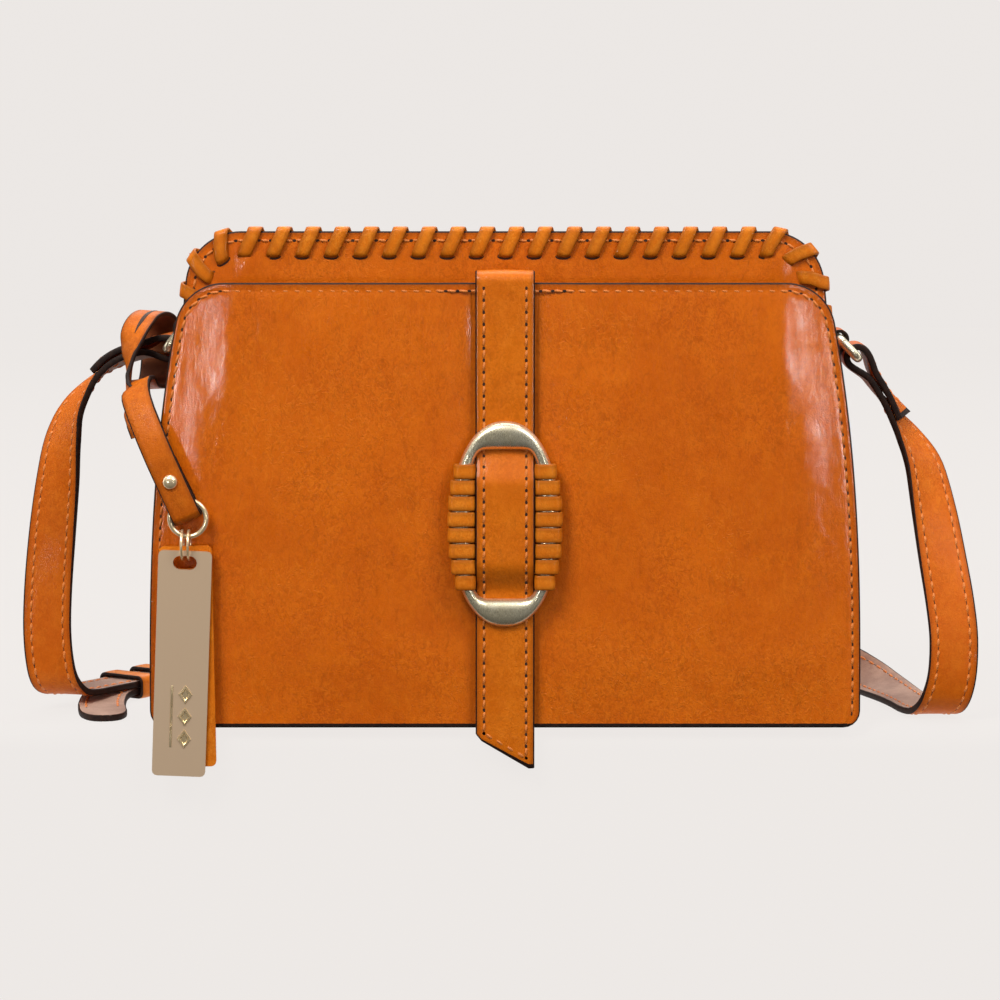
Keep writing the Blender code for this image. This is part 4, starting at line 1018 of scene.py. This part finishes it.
def frames(rows, steps, side=1):
    """Places (point, width direction, outward) along a leather band's route given in mm."""
    samples = spline(rows, steps)
    points = [Vector(row[:3]) * MM for row in samples]
    line = []
    for i, row in enumerate(samples):
        along = tangent_at(points, i)
        wide = square_to(Vector(row[3:6]), along)
        line.append((points[i], wide, along.cross(wide) * side))
    return line


def doubled_end(line, radius, fade=10 * MM):
    """The loose ply and the loop round the D-ring, then the strap itself moved off its middle."""
    loose, main, travelled = [], [], 0.0
    for i, (place, wide, out) in enumerate(line):
        if i:
            travelled += (place - line[i - 1][0]).length
        offset = PLY_OFFSET + (radius - PLY_OFFSET) * (1 - smoothstep(travelled / fade))
        settle = 1 - smoothstep((travelled - DOUBLED - 2 * MM) / (18 * MM))
        if travelled <= DOUBLED:
            loose.append((place + out * offset, wide, -out))
        main.append((place - out * offset * settle, wide, out))
    place, wide, out = line[0]
    back = (place - line[1][0]).normalized()
    ways = [out * cos(pi * step / 12) + back * sin(pi * step / 12) for step in range(1, 12)]
    return loose[::-1] + [(place + away * radius, wide, -away) for away in ways], main


def turned_back(line, radius, reach):
    """Carries a strap round the buckle's bar and back over itself."""
    place, wide, _ = line[-1]
    run = (place - line[-2][0]).normalized()
    points = []
    for angle in (pi * step / 12 for step in range(1, 13)):
        away = run * sin(angle) - UP * cos(angle)
        points.append((place + UP * radius + away * radius, wide, away))
    for part in (step / 8 for step in range(1, 9)):
        lift = 2 * PLY_OFFSET + (2 * radius - 2 * PLY_OFFSET) * (1 - smoothstep(part / 0.75))
        points.append((place - run * reach * part + UP * lift, wide, UP))
    return points


def strap_lines(line, skip=0, trim=0):
    """Stitch lines near both edges of both faces of a strap."""
    lines = []
    half, lift = STRAP_WIDTH / 2 - 3.0 * MM, STRAP_THICK / 2 - 0.14 * MM
    part = line[skip:len(line) - trim]
    for side in (-half, half):
        for face in (1, -1):
            lines.append([(place + wide * side + out * face * lift, out * face) for place, wide, out in part])
    return lines


def make_strap(side, route, trim, turned=False, taper=None):
    """One strap and its centre line: waxed face, suede backing, painted edges. The doubled ply shows
    leather outside."""
    name, base = "strap_" + side, frames(route, 5)
    loop, main = doubled_end(base, LOOP_RADIUS)
    line = loop + main + (turned_back(base, BUCKLE_LOOP, BUCKLE_REACH) if turned else [])
    scale = [1.0] * (len(line) - len(taper)) + taper if taper else None
    section = round_section(STRAP_WIDTH, STRAP_THICK, 0.55 * MM, 0.0, 3.0 * MM)
    slots, ends = parts_of(section), (0, len(line) - 1)
    built = strip(line, section, scale,
                  lambda i, j: 1 if i in ends else 0 if i < len(loop) and slots[j] == 2 else slots[j])
    strap = make(name + "_leather", built, [STRAP_LEATHER, PAINT, BACKING], "bag", [name])
    make_stitches(name + "_stitches", strap_lines(main, 12, trim), parent=strap)
    make_stitches(name + "_end_stitches", strap_lines(loop[2:-14])[1::2], parent=strap)
    return strap, [place for place, _, _ in loop[-11:] + main]


def make_straps():
    tip = [0.99, 0.97, 0.94, 0.88, 0.80, 0.68, 0.50, 0.22]
    long_strap, path = make_strap("long", LONG_ROUTE, 10, taper=tip)
    short_strap, path = make_strap("short", SHORT_ROUTE, 8, turned=True)
    fittings = make_buckle()


def make_buckle():
    """The buckle's frame and prong, and the two leather keepers."""
    across = Vector((-STRAP_RUN.y, STRAP_RUN.x, 0))
    bar = Vector(SHORT_ROUTE[-1][:3]) * MM + UP * BUCKLE_LOOP
    far = bar - STRAP_RUN * 17 * MM
    far.z = 2.1 * MM
    run = (far - bar).normalized()
    half = STRAP_WIDTH / 2 + 1.2 * MM + BUCKLE_WIRE
    normal = across.cross(run).normalized()
    path = rounded_loop((bar + far) / 2, across, run, half, (far - bar).length / 2, 3 * MM)
    made = [make("buckle_frame_brass", wire(path, normal, BUCKLE_WIRE * 1.05), [BRASS], "bag",
                 ["buckle_frame"])]
    lift = normal * (BUCKLE_WIRE + 0.9 * MM) * copysign(1, normal.z)
    path = [bar.lerp(far, part) + lift * arch for part, arch in ((0, 1), (0.3, 1.15), (0.7, 1.15), (1, 0.95))]
    rows = spline([list(point) for point in path + [far + run * 1.6 * MM + lift * 0.75]], 5)
    sizes = [0.85 * MM] * (len(rows) - 3) + [0.6 * MM] * 3
    prong = Shape().tube([circle(Vector(row), across * size, normal * size, 10)
                          for row, size in zip(rows, sizes)])
    made.append(make("buckle_prong", prong, [BRASS], "bag"))

    for node, body in (("keeper_fixed", "bag"), ("keeper_sliding", "loose_keeper")):
        low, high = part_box(node)
        path = rounded_loop((low + high) / 2, across, UP, STRAP_WIDTH / 2 + 1.2 * MM, 3.7 * MM, 1.9 * MM)
        built = strip(around(path, STRAP_RUN, STRAP_RUN),
                      round_section(8.0 * MM, 1.2 * MM, 0.35 * MM, 0.1 * MM), closed=True)
        made.append(make(node + "_leather", built, [LACE_LEATHER, PAINT, FLESH], body,
                         [node]))
    return made


# ---- D-rings and their tabs

D_BAR = {"right": Vector((121.3, 7, 137.3)) * MM, "left": Vector((-116.8, 7, 141.5)) * MM}
D_OUTER = {"right": Vector((127.8, 7, 130.7)) * MM, "left": Vector((-122.3, 7, 134.0)) * MM}
D_WIRE = 1.7 * MM
TAB_LEG = {"right": [(0.4, -4.6), (-1.0, -7.5), (-3.2, -12.5), (-4.6, -17.5)],
           "left": [(0.4, -4.2), (-0.7, -7.5), (-0.8, -12.5)]}


def against_body(z):
    """Distance from the middle of the bag to a D-ring's tab lying on the side wall."""
    return half_width(BODY, z) + 1.2 * MM


def make_d_rings():
    for side, sign in (("left", -1), ("right", 1)):
        bar, outer = D_BAR[side], D_OUTER[side]
        across = (outer - bar).normalized()
        path = rounded_loop((bar + outer) / 2, DEPTH, across, STRAP_WIDTH / 2 + 0.8 * MM + D_WIRE,
                            (outer - bar).length / 2, 2.6 * MM)
        make("d_ring_%s_brass" % side, wire(path, DEPTH.cross(across), D_WIRE), [BRASS],
             "ring_on_" + side, ["d_ring_" + side])

        radius = D_WIRE + 1.2 * MM
        bar_x, bar_z = abs(bar.x), bar.z
        rows = [(against_body(z), z) for z in (104 * MM, 114 * MM, 124 * MM)]
        rows += [(max(bar_x - 5 * MM, against_body(bar_z - 7.5 * MM)), bar_z - 7.5 * MM),
                 (bar_x - radius - 0.1 * MM, bar_z - 1.5 * MM)]
        for angle in (radians(165 - 195 * step / 10) for step in range(11)):
            rows.append((bar_x + radius * cos(angle), bar_z + radius * sin(angle)))
        rows += [(bar_x + x * MM, bar_z + z * MM) for x, z in TAB_LEG[side]]
        rows.append((against_body(116 * MM) + 2.0 * MM, 116 * MM))
        points = [Vector((x * sign, 7 * MM, z)) for x, z in spline(rows, 3)]
        section = round_section(15 * MM, 1.2 * MM, 0.35 * MM, 0.0, 2.2 * MM)
        built = strip(around(points, DEPTH, DEPTH * sign, False), section)
        make("ring_tab_%s_leather" % side, built, [STRAP_LEATHER, PAINT, STRAP_LEATHER], "bag",
             ["ring_tab_" + side])


# ---- zip

TOOTH_ROWS = [(-0.55, 0.52, 0.45), (-0.25, 0.66, 0.62), (0.55, 0.50, 0.60), (1.10, 0.62, 0.72)]
TOOTH_CORNERS = [(-1, -0.7), (-0.6, -1), (0.6, -1), (1, -0.7), (1, 0.7), (0.6, 1), (-0.6, 1), (-1, 0.7)]
TOOTH_PITCH = 2.1 * MM


def make_zip():
    teeth = Shape()
    low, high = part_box("zip_teeth_front")
    middle, level = (low.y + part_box("zip_teeth_back")[1].y) / 2, (low.z + high.z) / 2
    for side in (-1, 1):
        for k in range(int((high.x - low.x - MM) / TOOTH_PITCH)):
            x = low.x + 0.9 * MM + TOOTH_PITCH * (k + (side + 1) / 4)
            teeth.tube([[Vector((x + a * wide * 0.72 * MM, middle + side * y * MM, level + b * tall * MM))
                         for a, b in TOOTH_CORNERS] for y, wide, tall in TOOTH_ROWS])
    make("zip_teeth", teeth, [BRASS], "bag", ["zip_teeth_front", "zip_teeth_back"])

    for name, face in (("zip_strip_front", 1), ("zip_strip_back", -1)):
        low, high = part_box(name)
        middle = (low + high) / 2
        line = []
        for i in range(61):
            x = low.x + (high.x - low.x) * i / 60
            lift = 0.18 * MM * wave(x, middle.y, 6.0, 30 * MM)
            line.append((Vector((x, middle.y, middle.z + lift)), DEPTH, UP))
        section = round_section(high.y - low.y, high.z - low.z, 0.4 * MM, 0.1 * MM, 2.2 * MM)
        obj = make(name + "_leather", strip(line, section), HIDE, "bag", [name])
        inner = high.y - 2.2 * MM if face > 0 else low.y + 2.2 * MM
        make_stitches(name + "_stitches", [[(Vector((x, inner, high.z + 0.02 * MM)), UP)
                                            for x in (low.x + 2 * MM, high.x - 2 * MM)]], parent=obj)


# ---- charm

O_CENTRE = (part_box("charm_o_ring")[0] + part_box("charm_o_ring")[1]) / 2
# The charm's strip as (height above the O-ring, y), then over the strap as (x, y, z, width direction), mm.
CHARM_BACK_PLY = [(22, -37.3), (17, -37.2), (12.5, -36.2), (9, -34.9), (5, -34.7)]
CHARM_FRONT_PLY = [(7, -39.4), (12, -39.3), (18, -39.2), (24, -38.9), (31, -37.4), (37, -35.0), (42, -32.4)]
CHARM_LOOP = [
    (-131.2, -28, 119.8, 0.88, 0.1, 0.4), (-129.9, -20, 123.4, 0.5, -0.8, 0.2),
    (-129, -8, 120.8, 0.85, -0.45, 0.1), (-128.4, 6, 119.8, 0.97, -0.2, 0.05),
    (-127.6, 17, 122.6, 0.99, -0.1, 0.05), (-127.2, 21.9, 129, 1, 0, 0), (-127, 22.2, 137, 1, 0, 0),
    (-127, 21.2, 142, 1, 0, 0), (-127.4, 16, 145.2, 0.98, -0.2, 0), (-128.4, 9, 146.4, 0.93, -0.35, -0.05),
    (-130.3, 1, 145.8, 0.93, -0.35, -0.08), (-132.1, -4.5, 143.4, 0.95, -0.28, -0.1),
    (-133.4, -8, 140.5, 0.92, -0.35, 0), (-134.1, -10, 136.9, 0.75, -0.65, 0),
    (-134.7, -11, 133.7, 0.55, -0.83, 0), (-134.8, -12, 130.2, 0.3, -0.95, 0),
    (-135, -13, 126.7, 0.12, -0.99, 0), (-135.2, -15, 122.9, 0.03, -1, 0),
    (-134.8, -19, 118.8, 0.2, -0.97, 0), (-132.8, -25, 115.3, 0.6, -0.75, 0.25),
    (-130.4, -29.4, 112.2, 0.85, -0.35, 0.38), (-129, -31, 109.2, 0.91, 0, 0.4),
    (-127.7, -31.6, 105.8, 0.91, 0, 0.4)]
CHARM_FRONT, CHARM_BACK = -39.3, -34.7
CHARM_DOWN = Vector((0.407, 0, -0.9135))
CHARM_WIDE = Vector((0.9135, 0, 0.407))
STRIP_WIDTH = 10.6 * MM
STRIP_THICK = 1.5 * MM
# Samples of the charm's line: where its leather side turns over, so that the dark flesh side shows where the
# strip passes behind the strap, partly as painted shade there; where it is wider; and its slit.
CHARM_TWIST = 80
CHARM_WIDE_PART = (84, 112)
CHARM_SLIT = (110, 126)


def charm_line():
    """Places along the charm's strip: back ply, round the ring, front ply, over the D-ring's tab."""
    radius = (CHARM_BACK - CHARM_FRONT) / 2
    ends = [pi * step / 6 for step in range(7)]
    flat = CHARM_BACK_PLY + [(radius * (1 - sin(angle)), O_CENTRE.y / MM + radius * cos(angle))
                             for angle in ends] + CHARM_FRONT_PLY
    rows = []
    for height, y in flat:
        place = O_CENTRE - CHARM_DOWN * height * MM
        rows.append([place.x / MM, y, place.z / MM, *CHARM_WIDE])
    return frames(rows + CHARM_LOOP, 4, -1)


def round_wire(name, centre, radius, u, normal, thick, body):
    path = rounded_loop(centre, u, UP, radius, radius, radius * 0.999, 12)
    make(name + "_gold", wire(path, normal, thick), [GOLD], body, [name])


def make_charm():
    line = charm_line()
    section = round_section(STRIP_WIDTH, STRIP_THICK, 0.45 * MM, 0.35 * MM)
    parts = parts_of(section)
    low, high = CHARM_WIDE_PART
    scale = [1 + 0.3 * smoothstep(min(i - low, high - i) / 8) for i in range(len(line))]
    # From CHARM_TWIST on, face and back swap: the dark flesh side, partly painted shade, shows behind the
    # strap.
    built = strip(line, section, scale, lambda i, j: parts[j] if i < CHARM_TWIST else 2 - parts[j])
    make("charm_strip_leather", built, [SHADED_CHARM_LEATHER, PAINT, FLESH], "bag", ["charm_strip"])
    # A thin dark strip along the slit: painted shade in the cut.
    cut = [(place - out * (STRIP_THICK / 2 + 0.05 * MM) + wide * 0.8 * MM, wide, out)
           for place, wide, out in line[CHARM_SLIT[0]:CHARM_SLIT[1]]]
    size = [sin(pi * (i + 0.4) / (len(cut) - 0.2)) for i in range(len(cut))]
    make("charm_slit_painted_shade", strip(cut, round_section(1.5 * MM, 0.16 * MM, 0.05 * MM), size, 0), [HOLE_SHADE], "bag")

    low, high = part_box("charm_rivet")
    centre = (low + high) / 2
    rings = []
    for angle in (radians(90 * step / 8) for step in range(9)):
        radius = max((high.x - low.x) / 2 * cos(angle), 0.02 * MM)
        centre.y = high.y + (low.y - high.y) * sin(angle)
        rings.append(circle(centre, SIDE * radius, UP * radius, 28))
    make("charm_rivet_dome", Shape().tube(rings), [GOLD], "bag", ["charm_rivet"])

    low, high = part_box("charm_o_ring")
    round_wire("charm_o_ring", O_CENTRE, (high.x - low.x) / 2 - 0.75 * MM, SIDE, DEPTH, 0.95 * MM, "bag")
    for node in ("jump_ring_left", "jump_ring_right"):
        low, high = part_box(node)
        round_wire(node, (low + high) / 2, (high.z - low.z) / 2 - 0.6 * MM, DEPTH, SIDE, 0.5 * MM,
                   "jump_rings")


TAG_TILT = radians(2.3)
MARK_PROFILE = [(1.0, 0.15), (0.90, -0.30), (0.62, -0.36), (0.50, -0.06), (0.05, -0.02)]


def make_tag_marks():
    """A plain upright bar and a column of raised diamonds near the foot of the tag's plate."""
    low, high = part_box("tag_plate")
    down = Vector((-sin(TAG_TILT), 0, -cos(TAG_TILT)))
    side = Vector((-down.z, 0, down.x))
    top = Vector(((low.x + high.x) / 2, low.y, (low.z + high.z) / 2))
    built = Shape()
    marks = [(1.6, drop, [(2.6, 0), (0, 3.6), (-2.6, 0), (0, -3.6)]) for drop in (11, 19, 27)]
    marks.append((-3.2, 19, [(0.4, -11.6), (0.4, 11.6), (-0.4, 11.6), (-0.4, -11.6)]))
    for across, drop, corners in marks:
        spot = top + side * across * MM + down * drop * MM
        built.tube([[spot + (side * a + down * b) * size * MM + DEPTH * lift * MM for a, b in corners]
                    for size, lift in MARK_PROFILE])
    make("tag_marks", built, [GOLD], "tag", smooth=25)


# ---- CAD pieces that stay

def dress(node, materials, bevel=None):
    """Gives a CAD node better materials and softens its edges, which take the second material."""
    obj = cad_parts[node]
    obj.data.materials.clear()
    for material in materials:
        obj.data.materials.append(material)
    if bevel:
        modifier = obj.modifiers.new("soft_edges", "BEVEL")
        modifier.width, modifier.segments, modifier.limit_method = bevel * MM, 3, "ANGLE"
        modifier.angle_limit = radians(35)
        modifier.material = len(materials) - 1 or -1


def dress_frame():
    for names, materials, bevel in (
            ("zip_tape_front zip_tape_back", [TAPE], None), ("lining inner_pocket", [LINING], None),
            ("base_board", [BOARD], None), ("zip_slider", [BRASS], 0.35), ("zip_puller", [BRASS], 0.2),
            ("zip_stop_left zip_stop_right snap_cap snap_socket", [BRASS], 0.25),
            ("zip_pull_leather", [LACE_LEATHER, PAINT], 0.4), ("tag_plate", [TAG_METAL, GOLD], 0.45),
            ("tag_leather", [LACE_LEATHER, PAINT], 0.5)):
        for node in names.split():
            dress(node, materials, bevel)


# ---- stage

def make_stage():
    """A pale shelf with a rounded front edge, so that the tab and the tag hang past it."""
    edge, radius, reach = -28.5 * MM, 9 * MM, 2.2
    profile = [(reach, 0.0), (0.3, 0.0), (edge + radius, 0.0)]
    profile += [(edge + radius - radius * sin(angle), radius * cos(angle) - radius)
                for angle in (radians(90 * i / 10) for i in range(1, 11))]
    profile += [(edge, -1.2), (reach, -1.2)]
    built = Shape().tube([[Vector((x, y, z)) for y, z in profile] for x in (-reach, reach)])
    shelf = make("shelf", built, [stage_material()])


bpy.context.scene.view_settings.view_transform = "Standard"
for step in (make_camera, make_straps, make_lights, make_world, make_stage, make_panels, make_gussets,
             make_lace, make_tab, make_ring, make_d_rings, make_zip, make_charm, make_tag_marks, dress_frame):
    step()
